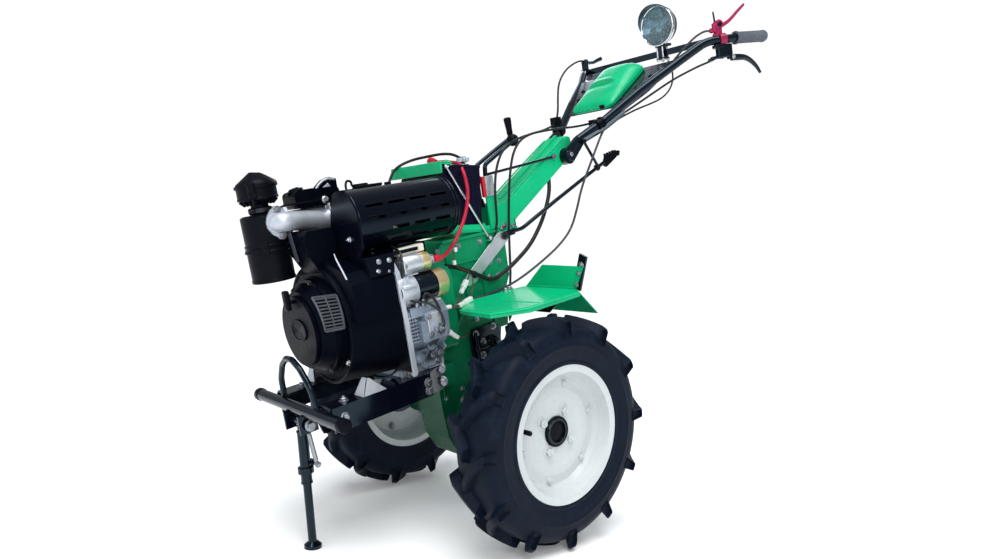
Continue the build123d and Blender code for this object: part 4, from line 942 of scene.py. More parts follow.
bm = bmesh.new()
block(bm, (182, 182, 600), (40, 5, 56), ch=1.5)
block(bm, (214, 104.5, 479), (80, 4, 17), ch=1.2)
block(bm, (146, 104.5, 479), (46, 4, 17), ch=1.2)
lathe(bm, [(0, 7), (6, 7), (6, 4), (-4, 4)], (183, 106.5, 486), (0, 1, 0), n=24)
for x, z in ((165, 622), (199, 622), (165, 578), (199, 578)):
    lathe(bm, [(0, 6.5), (4, 6.5), (5, 5.5)], (x, 182, z), (0, 1, 0), n=20)
piece(bm, "pump_cover", CAST_AL, "chassis", bevel=0.0008)

bm = bmesh.new()
for x, z in ((165, 622), (199, 622), (165, 578), (199, 578)):
    hexbolt(bm, (x, 187, z), (0, 1, 0), af=8.5, h=4, turn=x + z)
for x, z in ((233, 661), (246, 513), (160, 508), (138, 508)):
    hexbolt(bm, (x, 158 if z > 600 else 122, z), (0, 1, 0.3), af=11, h=6, turn=x)
for x, z in ((226, 484), (140, 484)):
    hexbolt(bm, (x, 106.5, z), (0, 1, 0), af=12, h=5, turn=x)
# banjo bolts and unions of the injector pipe
for x, y, z in ((196, 166, 652), (214, 166, 652)):
    lathe(bm, [(-8, 5), (0, 5), (0, 7.5), (6, 7.5), (6, 5.5), (12, 5.0), (13, 4)], (x, y, z), (0, 0.3, 1), n=12)
hexbolt(bm, (176, 192, 588), (0, 1, 0), af=15, h=9, stub=6)
piece(bm, "crankcase_bolts", BOLT, "chassis", bevel=0.0003)

bm = bmesh.new()
sweep(bm, smooth_line([(176, 200, 588), (170, 204, 600), (176, 202, 630), (196, 186, 655), (232, 172, 668), (246, 168, 700), (240, 172, 752),
                       (232, 160, 784), (228, 120, 800)]), 3.0, n=10)
sweep(bm, smooth_line([(196, 168, 664), (190, 172, 676), (176, 176, 668), (162, 178, 640), (160, 180, 606), (172, 178, 566), (198, 166, 548)]), 3.6, n=10)
piece(bm, "fuel_pipes", BOLT_BLACK, "chassis")

# starter motor: bright nose, black body, yellow-plated end cover; through bolts
bm = bmesh.new()
ring_lathe(bm, [(206, 34.5), (206, 37.6), (209, 38.2), (252, 38.2), (254.5, 37), (254.5, 34.5)], (0, 141, 690), (1, 0, 0), n=48)
for k in range(3):
    a = math.radians(20 + 120 * k)
    lathe(bm, [(212, 5.5), (214, 6.5), (250, 6.5), (252, 5.5)], (0, 141 + 38 * math.cos(a), 690 + 38 * math.sin(a)), (1, 0, 0), n=14)
piece(bm, "starter_nose", CAST_AL, "chassis", bevel=0.0008)
bm = bmesh.new()
lathe(bm, [(0, 12), (-3.5, 14), (-4, 30), (-2.6, 33.6), (0, 35.0), (24, 35.2), (27, 36.2), (30, 36.0), (30, 33)], (116.5, 141, 690), (1, 0, 0), n=48)
piece(bm, "starter_end_cover", BRASS, "chassis", bevel=0.0004)
bm = bmesh.new()
ring_lathe(bm, [(146.5, 33.5), (146.5, 35.0), (204, 35.2), (206, 34.6), (206, 33.0)], (0, 141, 690), (1, 0, 0), n=48)
piece(bm, "starter_sleeve", BLACK, "chassis", bevel=0.0004)
bm = bmesh.new()
for k in range(2):
    a = math.radians(60 + 180 * k)
    hexbolt(bm, (113.5, 141 + 26 * math.cos(a), 690 + 26 * math.sin(a)), (-1, 0, 0), af=8, h=4)
lathe(bm, [(0, 9), (-5, 9), (-6, 7), (-6, 0)], (113.5, 141, 690), (1, 0, 0), n=24)
piece(bm, "starter_end_bolts", BOLT, "chassis", bevel=0.0002)
# solenoid: bright drum, cream-yellow cap, terminals
bm = bmesh.new()
lathe(bm, [(178, 22), (180, 24.6), (230, 24.6), (232.5, 23.4), (234, 20), (234, 0)], (0, 150, 751), (1, 0, 0), n=48)
block(bm, (236, 150, 748), (5, 58, 30), ch=1.2)
piece(bm, "solenoid_drum", GALV, "chassis", bevel=0.0006)
bm = bmesh.new()
lathe(bm, [(153, 0), (153, 19), (154.2, 21.6), (158, 22.6), (176, 22.8), (178.5, 22.6), (178.5, 0)], (0, 150, 751), (1, 0, 0), n=48)
piece(bm, "solenoid_cap", BRASS, "chassis", bevel=0.0005)
bm = bmesh.new()
for y, z, L in ((150, 759, 20), (159, 744, 16), (141, 744, 16)):
    rod(bm, (154, y, z), (154 - L, y, z), 3.4, n=14, ch=0.6)
    hexbolt(bm, (153, y, z), (-1, 0, 0), af=9.5, h=4.5, turn=0.2 * z)
    hexbolt(bm, (153 - L * 0.5, y, z), (-1, 0, 0), af=9.5, h=4, washer=False)
for y in (128, 172):
    hexbolt(bm, (233.5, y, 751), (-1, 0, 0), af=9, h=5)
piece(bm, "solenoid_terminals", BOLT, "chassis", bevel=0.0002)
bm = bmesh.new()
# red rubber boots on the leads' ends
lathe(bm, [(0, 5.6), (3, 6.6), (8, 8.2), (16, 9.4), (24, 9.0), (27, 7.0), (28, 0)], (104, 141, 745.5), (1, 0.26, 0.17), n=24)
lathe(bm, [(0, 0), (0, 11), (2, 12.4), (14, 11.8), (22, 9.4), (27, 6.6), (31, 5.6)], (-98, -118, 990), (0.02, 1, -0.06), n=24)
piece(bm, "lead_boots", PL_RED, "chassis", bevel=0.0004)
# regulator box above the solenoid
bm = bmesh.new()
block(bm, (194, 140, 784), (76, 24, 19), ((1, 0, -0.03), (0, 1, 0), (0, 0, 1)), ch=2.0)
for k in range(5):
    block(bm, (172 + 11 * k, 152.6, 784), (3.0, 2.4, 13), ch=0.6)
piece(bm, "charge_box", PL_CREAM, "chassis", bevel=0.0006)
# wires and their white connectors on the near side
bm = bmesh.new()
W1 = smooth_line([(153, 128, 612), (140, 112, 606), (126, 110, 590), (112, 110, 566)])
W2 = smooth_line([(32, 100, 751), (34, 102, 735), (38, 102, 718), (20, 102, 700), (-6, 100, 686), (0, 106, 674), (14, 110, 664)])
W3 = smooth_line([(35, 110, 642), (30, 106, 632), (45, 104, 620), (66, 108, 612), (99, 138, 617)])
W4 = smooth_line([(99, 140, 617), (62, 116, 606), (34, 106, 585), (28, 103, 560), (28, 103, 535), (44, 106, 522), (74, 110, 530)])
W5 = smooth_line([(45, 110, 611), (58, 112, 606), (80, 128, 616)])
W6 = smooth_line([(10, 110, 616), (0, 104, 622), (-10, 96, 628), (-20, 90, 640), (-30, 86, 668)])
for w_ in (W2, W3, W4, W5, W6):
    sweep(bm, w_, 1.7, n=8)
piece(bm, "brown_wires", WIRE_BROWN, "chassis")
bm = bmesh.new()
sweep(bm, W1, 2.2, n=8)
sweep(bm, smooth_line([(112, 110, 566), (130, 120, 580), (150, 140, 600), (168, 150, 620), (196, 160, 634)]), 2.0, n=8)
piece(bm, "black_wires", SHEATH, "chassis")


def connector(bm, a, b, w=13, h=10):
    a, b = Vector(a), Vector(b)
    d = (b - a).normalized()
    side = Vector((0, 1, 0)) - d * d.y
    side.normalize()
    up = d.cross(side)
    L = (b - a).length
    block(bm, a + d * L * 0.30, (L * 0.58, w, h), (d, side, up), ch=1.4)
    block(bm, a + d * L * 0.76, (L * 0.46, w * 0.82, h * 0.82), (d, side, up), ch=1.2)
    block(bm, a + d * L * 0.40 + up * h * 0.5, (L * 0.30, w * 0.4, 2.4), (d, side, up), ch=0.6)
    for k in (-1, 0, 1):
        block(bm, a + d * L * 0.97 + side * k * w * 0.25, (3.0, 2.0, 4.0), (d, side, up))


bm = bmesh.new()
connector(bm, (11, 110, 668), (37, 110, 638), w=14, h=11)
connector(bm, (4, 110, 617), (50, 110, 607), w=15, h=12)
connector(bm, (120, 112, 570), (70, 111, 526), w=17, h=13)
# corrugated sleeve over the wires
pts = smooth_line([(171, 142, 624), (135, 142, 622), (99, 141, 619)], per=14)
sweep(bm, pts, [5.6 + 0.7 * math.cos(2.2 * i) for i in range(len(pts))], n=14)
pts = smooth_line([(164, 138, 650), (145, 138, 649), (126, 139, 647)], per=6)
sweep(bm, pts, 4.2, n=12)
pts = smooth_line([(150, 132, 600), (134, 132, 597), (118, 131, 593)], per=6)
sweep(bm, pts, 5.0, n=12)
for x, y, z in ((25, 100, 752), (38, 104, 720)):
    block(bm, (x, y, z), (9, 9, 12), ch=1.4)
piece(bm, "white_connectors", PL_WHITE, "chassis", bevel=0.0005)

# ------------------------------------------------------------------ head, elbow, air cleaner, tank
bm = bmesh.new()
# rocker cover: crowned casting with a rim, ribs and a round boss
block(bm, (313, -77, 931), (126, 78, 8), ch=2.5)
for k in range(4):
    block(bm, (268 + 26 * k, -77, 960), (5, 58, 9), ch=1.5)
lathe(bm, [(0, 22), (6, 22), (8, 20), (9, 14), (12, 12), (13, 0)], (352, -77, 958), (0.25, 0, 1), n=36)
lathe(bm, [(0, 15), (8, 15), (10, 12), (10, 0)], (378, -98, 918), (1, 0, 0), n=28)
# dark casting by the tank
pts = [(318, 930), (316, 948), (306, 966), (288, 980), (268, 986), (250, 980), (250, 930)]
plate(bm, [(x, -48, z) for x, z in pts], (0, -18, 0))
# fins of the cylinder
for k in range(9):
    z = 806 + 10.5 * k
    block(bm, (192, -62, z), (152, 132, 3.6), ch=1.0)
piece(bm, "head_castings", BLACK_CAST, "chassis", bevel=0.0012)
bm = bmesh.new()
strap = [(314, 936), (313, 950), (305, 966), (290, 978), (272, 983.5), (254, 980)]
sweep(bm, smooth_line([(x + 2, -46.6, z - 2) for x, z in strap]), 3.2, n=10)
plate(bm, [(304, -47, 932), (303, -47, 946), (292, -47, 962), (276, -47, 972), (268, -47, 958), (282, -47, 946), (290, -47, 930)], (0, 2.5, 0))
block(bm, (283, -71, 890), (14, 66, 66), ch=3.0)
piece(bm, "head_strap", CAST_AL, "chassis", bevel=0.0010)

bm = bmesh.new()
# elbow: runs forward from the head, then bends into the side of the air cleaner
cl = smooth_line([(288, -58, 883), (322, -55, 886), (360, -44, 890), (394, -28, 894), (418, -22, 896), (430, -33, 897), (431, -56, 897)])
sweep(bm, cl, [30.0 - 5.0 * min(1.0, k / 5.0) if k < 6 else 25.0 - 1.6 * min(1.0, (k - 5) / 20.0) for k in range(len(cl))], n=48)
lathe(bm, [(280, 30), (281, 34.5), (287.5, 34.5), (289.5, 30)], (0, -60, 884), (1, 0, 0), n=48, closed=False)
ring_ = [(429, 933), (440, 929), (452, 913), (456, 900), (455, 886), (446, 870), (432, 860), (420, 857), (411, 864), (402, 878),
         (397, 896), (402, 914), (414, 929)]
plate(bm, [(x, -41, z) for x, z in ring_], (0, 7, 0))
for x, z in ((427, 927), (425, 865)):
    lathe(bm, [(0, 9.5), (9, 9.5), (10.5, 8.4)], (x, -40, z), (0, 1, 0), n=24)
block(bm, (352, -52, 862), (70, 5, 8), ch=1.4)
piece(bm, "elbow_castings", CAST_AL, "chassis", bevel=0.0012)
bm = bmesh.new()
for x, z in ((427, 927), (425, 865)):
    hexbolt(bm, (x, -29.6, z), (0, 1, 0), af=11, h=6, turn=z)
for y, z in ((-95, 914), (-48, 914), (-95, 866), (-48, 866)):
    hexbolt(bm, (289, y, z), (1, 0, 0), af=11, h=6, turn=z)
for x, y in ((262, -104), (362, -104), (362, -50)):
    hexbolt(bm, (x, y, 935), (0, 0, 1), af=9, h=5, turn=x)
lathe(bm, [(0, 6), (6, 6), (7, 9), (13, 9), (15, 6), (15, 0)], (300, -40, 930), (0, 1, 0.2), n=18)
piece(bm, "head_bolts", BOLT, "chassis", bevel=0.0003)
# hook standing behind the rocker cover
bm = bmesh.new()
sweep(bm, smooth_line([(262, 42, 930), (262, 34, 938), (262, 18, 944), (261, 14, 958), (256, 14, 968), (246, 14, 966), (244, 14, 956)]), 3.0, n=10)
block(bm, (262, 44, 932), (16, 12, 5), ch=1.0)
block(bm, (216, 46, 950), (74, 10, 7), ch=1.2)
block(bm, (170, 60, 948), (16, 10, 9), ch=1.2)
piece(bm, "guard_top_tabs", BLACK_SHEET, "chassis", bevel=0.0005)

AX, AY = 442, -90
bm = bmesh.new()
# oil bath body: rolled rims, seam band, latches, shoulder
ring_lathe(bm, [(912, 51), (916.5, 50.5), (918.5, 47), (917.0, 43), (912, 42)], (AX, AY, 0), (0, 0, 1), n=64)
ring_lathe(bm, [(757.5, 49), (757.5, 51.5), (762, 52.6), (766, 51.4), (766, 49)], (AX, AY, 0), (0, 0, 1), n=64)
ring_lathe(bm, [(829, 51), (830.5, 54.4), (833, 55.2), (836, 54.4), (839, 51)], (AX, AY, 0), (0, 0, 1), n=64)
ring_lathe(bm, [(842, 51), (844, 52.6), (848, 52.6), (850, 51)], (AX, AY, 0), (0, 0, 1), n=64)
for a in (62, 182, 302):
    t = math.radians(a)
    c, s_ = math.cos(t), math.sin(t)
    ax = ((-s_, c, 0), (c, s_, 0), (0, 0, 1))
    block(bm, (AX + 54.5 * c, AY + 54.5 * s_, 842), (17, 6, 32), ax, ch=1.2)
    block(bm, (AX + 57.5 * c, AY + 57.5 * s_, 848), (11, 4, 15), ax, ch=1.0)
piece(bm, "air_cleaner_rims", PL_BLACK, "chassis", bevel=0.0005)
bm = bmesh.new()
for a in (182, 302):
    t = math.radians(a)
    c, s_ = math.cos(t), math.sin(t)
    sweep(bm, smooth_line([(AX + 57 * c - 9 * s_, AY + 57 * s_ + 9 * c, 832), (AX + 60 * c - 9 * s_, AY + 60 * s_ + 9 * c, 846),
                           (AX + 60 * c + 9 * s_, AY + 60 * s_ - 9 * c, 846), (AX + 57 * c + 9 * s_, AY + 57 * s_ - 9 * c, 832)], per=6), 1.3, n=8)
piece(bm, "air_cleaner_clips", ZINC, "chassis")
bm = bmesh.new()
# pre-cleaner: bowl lip, vanes, cover with a low cone, side ears
ring_lathe(bm, [(984, 44), (984, 50.0), (988, 51.0), (992, 50.4), (993, 46), (990, 43)], (AX, AY, 0), (0, 0, 1), n=64)
ring_lathe(bm, [(956, 44), (956, 47.5), (960, 48.4), (963, 47.4), (963, 44)], (AX, AY, 0), (0, 0, 1), n=64)
lathe(bm, [(992, 49), (996, 47.5), (1006, 34), (1015, 21), (1019.5, 13), (1020.5, 0)], (AX - 2, AY, 0), (0, 0, 1), n=64)
for k in range(18):
    t = 2 * math.pi * k / 18
    c, s_ = math.cos(t), math.sin(t)
    block(bm, (AX + 37 * c, AY + 37 * s_, 951), (2.4, 16, 10), ((-s_, c, 0), (c, s_, 0.9), (-0.9 * c, -0.9 * s_, 1)), ch=0.5)
for t in (math.radians(55), math.radians(235)):
    c, s_ = math.cos(t), math.sin(t)
    ax = ((-s_, c, 0), (c, s_, 0), (0, 0, 1))
    block(bm, (AX + 50.5 * c, AY + 50.5 * s_, 978), (20, 7, 38), ax, ch=2.0)
    block(bm, (AX + 54.5 * c, AY + 54.5 * s_, 982), (13, 4, 20), ax, ch=1.4)
    block(bm, (AX + 52 * c, AY + 52 * s_, 951), (7, 4, 18), ax, ch=1.0)
ring_lathe(bm, [(921, 21), (921, 26), (925, 27.5), (936, 27.5), (938, 25), (938, 21)], (AX, AY, 0), (0, 0, 1), n=48)
piece(bm, "pre_cleaner_details", PL_BLACK, "chassis", bevel=0.0005)
bm = bmesh.new()
# neck clamp with its screw
ring_lathe(bm, [(925.5, 27.4), (925.5, 28.6), (935.5, 28.6), (935.5, 27.4)], (AX, AY, 0), (0, 0, 1), n=48)
block(bm, (AX + 28, AY + 10, 930.5), (9, 12, 9), ch=1.2)
hexbolt(bm, (AX + 28, AY + 16, 930.5), (0, 1, 0), af=8, h=5)
piece(bm, "neck_clamp", BOLT_BLACK, "chassis", bevel=0.0003)

bm = bmesh.new()
# fuel tank: seam flange all round, filler neck with a knurled cap
z = 868
rr = 26
pts = []
for cx, cy, a0 in ((286 - rr, -128 - rr, 0), (44 + rr, -128 - rr, 90), (44 + rr, -226 + rr, 180), (286 - rr, -226 + rr, 270)):
    for j in range(7):
        a = math.radians(a0 + 15 * j)
        pts.append((cx + (rr + 4) * math.cos(a), cy + (rr + 4) * math.sin(a), z))
plate(bm, pts, (0, 0, 3.4))
lathe(bm, [(944, 22), (950, 22), (951, 19.5)], (112, -176, 0), (0, 0, 1), n=40)
lathe(bm, [(950.5, 19), (951, 21.4), (952.4, 22), (957, 22), (958, 21), (958.4, 12), (957, 10), (957, 0)], (112, -176, 0), (0, 0, 1), n=24)
for k in range(20):
    t = 2 * math.pi * k / 20
    block(bm, (112 + 22 * math.cos(t), -176 + 22 * math.sin(t), 954.4), (2.2, 3.4, 5.0), ((math.cos(t), math.sin(t), 0), (-math.sin(t), math.cos(t), 0), (0, 0, 1)), ch=0.5)
piece(bm, "tank_seam_and_cap", PL_BLACK, "chassis", bevel=0.0005)
bm = bmesh.new()
for x in (84, 246):
    sweep(bm, smooth_line([(x, -124, 800), (x, -124.5, 860), (x, -125.5, 922), (x, -134, 944), (x, -152, 950.5), (x, -176, 950.8), (x, -202, 950.5), (x, -220, 944),
                           (x, -229.5, 922), (x, -229.5, 860), (x, -229, 806)], per=6), 2.6, n=8)
piece(bm, "tank_straps", BLACK_SHEET, "chassis")


# ------------------------------------------------------------------ battery
BLEAN = math.radians(-7.5)


def lean(x, y, z):
    """A point of the battery group, leaned back with it."""
    c, s_ = math.cos(BLEAN), math.sin(BLEAN)
    dx, dz = x + 126.0, z - 873.0
    return Vector((-126.0 + dx * c + dz * s_, y, 873.0 - dx * s_ + dz * c))


def ldir(x, y, z):
    return lean(x - 126.0, y, z + 873.0) - lean(-126.0, 0, 873.0)


lx, ly, lz = ldir(1, 0, 0), Vector((0, 1, 0)), ldir(0, 0, 1)
bm = bmesh.new()
# lid with a step, ribs on the walls, base lip, vent plugs, handle ends
block(bm, lean(-62.5, -45.5, 956), (134.6, 198.6, 9), (lx, ly, lz), ch=1.6)
block(bm, lean(-62.5, -45.5, 929), (134.2, 198.2, 3), (lx, ly, lz), ch=0.8)
block(bm, lean(-62.5, -45.5, 787), (134.8, 198.8, 10), (lx, ly, lz), ch=1.6)
for k in range(7):
    x = -112 + 16.5 * k
    block(bm, lean(x, 53.2, 856), (3.0, 2.6, 124), (lx, ly, lz), ch=0.7)
for zz in (894, 826):
    block(bm, lean(-62.5, 53.2, zz), (126, 2.4, 3.0), (lx, ly, lz), ch=0.7)
for k in range(6):
    lathe(bm, [(0, 8.5), (3.0, 8.5), (3.6, 7.6), (3.6, 3.0), (2.4, 2.4), (2.4, 0)], lean(-38 if k % 2 else -52, -112 + 26 * k, 960.4), lz, n=24)
block(bm, lean(-110, -45, 964), (26, 120, 7), (lx, ly, lz), ch=1.8)
piece(bm, "battery_case_details", PL_BATT, "chassis", bevel=0.0006)
bm = bmesh.new()
for y in (28, -115):
    lathe(bm, [(0, 13), (4, 13), (5, 11), (5, 9.6)], lean(-86, y, 960), lz, n=28)
    ring_lathe(bm, [(9, 9.0), (9, 14.2), (10, 15), (20, 15), (21, 14.2), (21, 9.0)], lean(-86, y, 960), lz, n=28)
    block(bm, lean(-86 + 0, y + (19 if y > 0 else 19), 975), (12, 16, 11), (lx, ly, lz), ch=1.2)
    hexbolt(bm, lean(-80, y + 21, 975), lx, af=10, h=6)
piece(bm, "battery_clamps", CAST_AL, "chassis", bevel=0.0005)
bm = bmesh.new()
for y in (59.5, -160):
    a, b_ = Vector((-20, y, 963)), Vector((-128, y, 756))
    dd = (b_ - a).normalized()
    rod(bm, a - dd * 6, b_ + dd * 3, 3.9, n=16, ch=0.8)
    n_turn = 26
    for k in range(n_turn):
        p = a - dd * 12 + dd * (k * 1.1)
        lathe(bm, [(0, 3.4), (0.55, 4.05), (1.1, 3.4)], p, dd, n=12)
    hexbolt(bm, a - dd * 1.0 + Vector((0, 0, 3)), -dd, af=11, h=6)
piece(bm, "battery_hold_rods", ZINC, "chassis", bevel=0.0002)
bm = bmesh.new()
# clamp bar: folded channel
block(bm, lean(-4, -56.5, 966.0), (36, 241, 3.2), (lx, ly, lz), ch=0.8)
block(bm, lean(13.4, -56.5, 951), (3.0, 241, 32), (lx, ly, lz), ch=0.8)
block(bm, lean(-21.0, -56.5, 962), (3.0, 241, 11), (lx, ly, lz), ch=0.8)
piece(bm, "clamp_bar_fold", GREEN, "chassis", bevel=0.0010)
bm = bmesh.new()
# tray lip with stiffening folds
for y in (-149.5, 57.5):
    block(bm, lean(-63, y, 789), (142, 3.0, 16), (lx, ly, lz), ch=0.8)
block(bm, lean(9.0, -46, 789), (3.0, 204, 20), (lx, ly, lz), ch=0.8)
piece(bm, "tray_lips", GREEN, "chassis", bevel=0.0010)

# ------------------------------------------------------------------ gearbox, axle
bm = bmesh.new()
for s in (1, -1):
    yy = s * 57.0
    # rims and ribs of the castings
    plate(bm, [(-150, yy, 560), (62, yy, 560), (62, yy, 548), (-146, yy, 548)], (0, s * 5, 0))
    block(bm, (-60, yy + s * 1.5, 772), (190, 6, 9), ch=1.5)
    block(bm, (-88, yy + s * 1.0, 640), (6, 5, 146), ch=1.4)
    block(bm, (28, yy + s * 1.0, 655), (6, 5, 170), ch=1.4)
    block(bm, (-30, yy + s * 1.0, 707), (112, 5, 5), ch=1.4)
    block(bm, (104, yy + s * 1.0, 420), (6, 5, 150), ch=1.4)
    block(bm, (-104, yy + s * 1.0, 400), (6, 5, 170), ch=1.4)
    lathe(bm, [(0, 34), (5, 34), (7, 31), (8, 26), (8, 0)], (-126, s * 55, 668), (0, s, 0), n=40)
    lathe(bm, [(0, 26), (7, 26), (9, 23), (9, 0)], (-46, s * 55, 622), (0, s, 0), n=36)
    lathe(bm, [(0, 20), (6, 20), (7, 18), (7, 0)], (20, s * 55, 600), (0, s, 0), n=32)
    # axle housing: flange, ribs, outer collar
    lathe(bm, [(0, 82), (9, 82), (11, 79), (11, 66), (16, 60), (50, 46), (150, 40), (168, 40), (170, 48), (182, 48), (184, 44), (184, 26)],
          (0, s * 56, 290), (0, s, 0), n=64, closed=False)
    for k in range(8):
        a = math.radians(22.5 + 45 * k)
        e1 = Vector((math.cos(a), 0, math.sin(a)))
        block(bm, Vector((0, s * 96, 290)) + e1 * 52, (22, 74, 5), (e1, (0, 1, 0), (-e1.z, 0, e1.x)), ch=1.2)
piece(bm, "gearbox_castings", GREEN_CAST, "chassis", bevel=0.0014)

bm = bmesh.new()
for s in (1, -1):
    for k in range(8):
        a = math.radians(45 * k)
        hexbolt(bm, (73 * math.cos(a), s * 66, 290 + 73 * math.sin(a)), (0, s, 0), af=12, h=6, turn=k)
    for x, z in ((-118, 690), (-140, 648), (-108, 650), (-150, 688), (52, 752), (-20, 754), (-96, 752), (48, 575), (-40, 545), (-130, 545),
                 (52, 545), (100, 360), (-100, 330), (-60, 240), (60, 240), (42, 368)):
        hexbolt(bm, (x, s * (62.0 if (x, z) in ((-118, 690), (-140, 648), (-108, 650), (-150, 688)) else (61.5 if z == 545 else 56.0)), z), (0, s, 0),
                af=9, h=4.5, turn=x * 0.3)
piece(bm, "gearbox_bolts", BOLT, "chassis", bevel=0.0003)
bm = bmesh.new()
# black clutch-cable bracket on the near side of the case
plate(bm, [(-16, 57, 520), (-6, 57, 500), (-6, 57, 432), (-20, 57, 408), (-96, 57, 396), (-112, 57, 412), (-112, 57, 505), (-96, 57, 522)], (0, 9, 0))
block(bm, (-58, 70, 466), (92, 10, 12), ch=2)
block(bm, (-20, 71, 466), (10, 10, 88), ch=2)
lathe(bm, [(0, 20), (10, 20), (13, 16), (22, 15), (24, 12), (24, 0)], (-78, 62, 470), (0, 1, 0), n=36)
piece(bm, "case_side_bracket", BLACK, "chassis", bevel=0.0012)
bm = bmesh.new()
for x, z in ((-46, 478), (-39, 442), (-88, 512), (-90, 424), (-24, 506)):
    hexbolt(bm, (x, 66.5, z), (0, 1, 0), af=12, h=7, stub=4, turn=x)
piece(bm, "case_bracket_bolts", BOLT, "chassis", bevel=0.0003)
bm = bmesh.new()
for s in (1, -1):
    # fender brackets: gusset plates from the case to the underside of the fender
    plate(bm, [(-160, s * 58, 604), (-160, s * 132, 604), (-160, s * 60, 506)], (4, 0, 0))
    plate(bm, [(-168, s * 57, 604), (-96, s * 57, 604), (-104, s * 57, 500), (-150, s * 57, 500)], (0, s * 4, 0))
    plate(bm, [(36, s * 58, 604), (36, s * 120, 604), (36, s * 60, 520)], (4, 0, 0))
    block(bm, (-60, s * 200, 601), (150, 22, 5), ch=1.2)
    block(bm, (-60, s * 290, 601), (150, 22, 5), ch=1.2)
piece(bm, "fender_brackets", GREEN_CAST, "chassis", bevel=0.0010)
bm = bmesh.new()
# black bracket and stowed parts under the near fender's rear
plate(bm, [(-118, 150, 598), (-176, 150, 598), (-190, 150, 560), (-140, 150, 548)], (0, 6, 0))
block(bm, (-140, 232, 575), (66, 96, 6), ((1, 0, -0.5), (0, 1, 0), (0.5, 0, 1)), ch=1.5)
rod(bm, (-96, 70, 590), (-150, 300, 585), 6, n=16, ch=1)
rod(bm, (-96, -70, 590), (-150, -300, 585), 6, n=16, ch=1)
block(bm, (-130, 190, 582), (52, 60, 16), ch=3)
piece(bm, "fender_underside_rods", BLACK, "chassis", bevel=0.0010)

# fenders: rolled near edge, seam ridges, screws
bm = bmesh.new()
for s in (1, -1):
    edge = [(87, 162), (94, 288), (20, 350), (-150, 356)]
    pts = [Vector((x, s * y, 607.0)) for x, y in edge]
    line = []
    for p, q in zip(pts, pts[1:]):
        for j in range(6):
            line.append(p.lerp(q, j / 6))
    line.append(pts[-1])
    sweep(bm, line, 2.3, n=8)
    sweep(bm, [Vector((10, s * 112, 607.6)), Vector((-20, s * 200, 607.8)), Vector((-34, s * 330, 607.6))], [1.0, 1.9, 1.0], n=8)
    sweep(bm, [Vector((78, s * 172, 607.6)), Vector((80, s * 278, 607.8)), Vector((14, s * 336, 607.8)), Vector((-60, s * 341, 607.6))],
          [1.2, 1.4, 1.4, 1.2], n=8)
    sweep(bm, [Vector((-183.4, s * 130, 609)), Vector((-183.4, s * 312, 609))], 3.0, n=8)
piece(bm, "fender_beads", GREEN, "chassis")
bm = bmesh.new()
for s in (1, -1):
    for x, y in ((0, 92), (44, 88), (-150, 90), (-130, 96)):
        hexbolt(bm, (x, s * y, 607.5), (0, 0, 1), af=11, h=5, turn=x)
    for y, z in ((318, 618), (330, 648), (344, 672)):
        hexbolt(bm, (-182.4, s * y, z), (1, 0, 0), af=9, h=4, turn=z)
    for x, y in ((96, 170), (97, 196), (98, 260)):
        lathe(bm, [(0, 3.6), (1.2, 3.4), (2.0, 0)], (91.2, s * y, 602), (1, 0, 0), n=12)
piece(bm, "fender_bolts", BOLT, "chassis", bevel=0.0003)

# ------------------------------------------------------------------ column, levers, brace
bm = bmesh.new()
# foot casting of the column on the gearbox, with ribs
for s in (1, -1):
    plate(bm, [(-174, s * 38, 764), (-252, s * 38, 764), (-250, s * 38, 792), (-174, s * 38, 800)], (0, s * 6.5, 0))
plate(bm, [(-252, -44.5, 760), (-252, 44.5, 760), (-250, 44.5, 796), (-250, -44.5, 796)], (5, 0, 0))
plate(bm, [(-179, -44.5, 764), (-179, 44.5, 764), (-178, 44.5, 838), (-178, -44.5, 838)], (4, 0, 0))
block(bm, (-212, 0, 767), (82, 96, 10), ch=2)
# pivot cheeks with serrated faces
for s in (1, -1):
    lathe(bm, [(0, 27.5), (3.6, 27.5), (4.6, 26.4), (4.6, 12)], (-491, s * 42.6, 948), (0, s, 0), n=48, closed=False)
# folded edges along the top of the channel
for s in (1, -1):
    sweep(bm, smooth_line([(-240, s * 41.0, 855.0), (-330, s * 41.0, 908.2), (-420, s * 41.0, 960.0), (-500, s * 41.0, 1005.0)]), 2.6, n=8)
sweep(bm, smooth_line([(-252, 0, 854.4), (-340, 0, 907.2), (-430, 0, 960.4), (-506, 0, 1006.0)]), [2, 6] + [6.5] * 21 + [5, 2], n=12)
piece(bm, "column_folds", GREEN, "chassis", bevel=0.0010)
bm = bmesh.new()
for k in range(30):
    a = 2 * math.pi * k / 30
    for s in (1, -1):
        e1 = Vector((math.cos(a), 0, math.sin(a)))
        block(bm, Vector((-491, s * 46.9, 948)) + e1 * 23, (7, 1.6, 2.4), (e1, (0, 1, 0), (-e1.z, 0, e1.x)))
piece(bm, "pivot_serrations", BOLT_BLACK, "chassis")
bm = bmesh.new()
for s in (1, -1):
    for x in (-192, -236):
        hexbolt(bm, (x, s * 53 * 0.84, 772), (0, 0, 1), af=12, h=6, turn=x)
    hexbolt(bm, (-206, s * 44.5, 778), (0, s, 0), af=11, h=5)
hexbolt(bm, (-440, 50, 951), (0, 1, 0), af=10, h=5)
hexbolt(bm, (-132, 50, 760), (0, 1, 0), af=11, h=6, stub=5)
hexbolt(bm, (-126, 68, 753), (0, 0, 1), af=11, h=6)
piece(bm, "column_bolts", BOLT, "chassis", bevel=0.0003)
bm = bmesh.new()
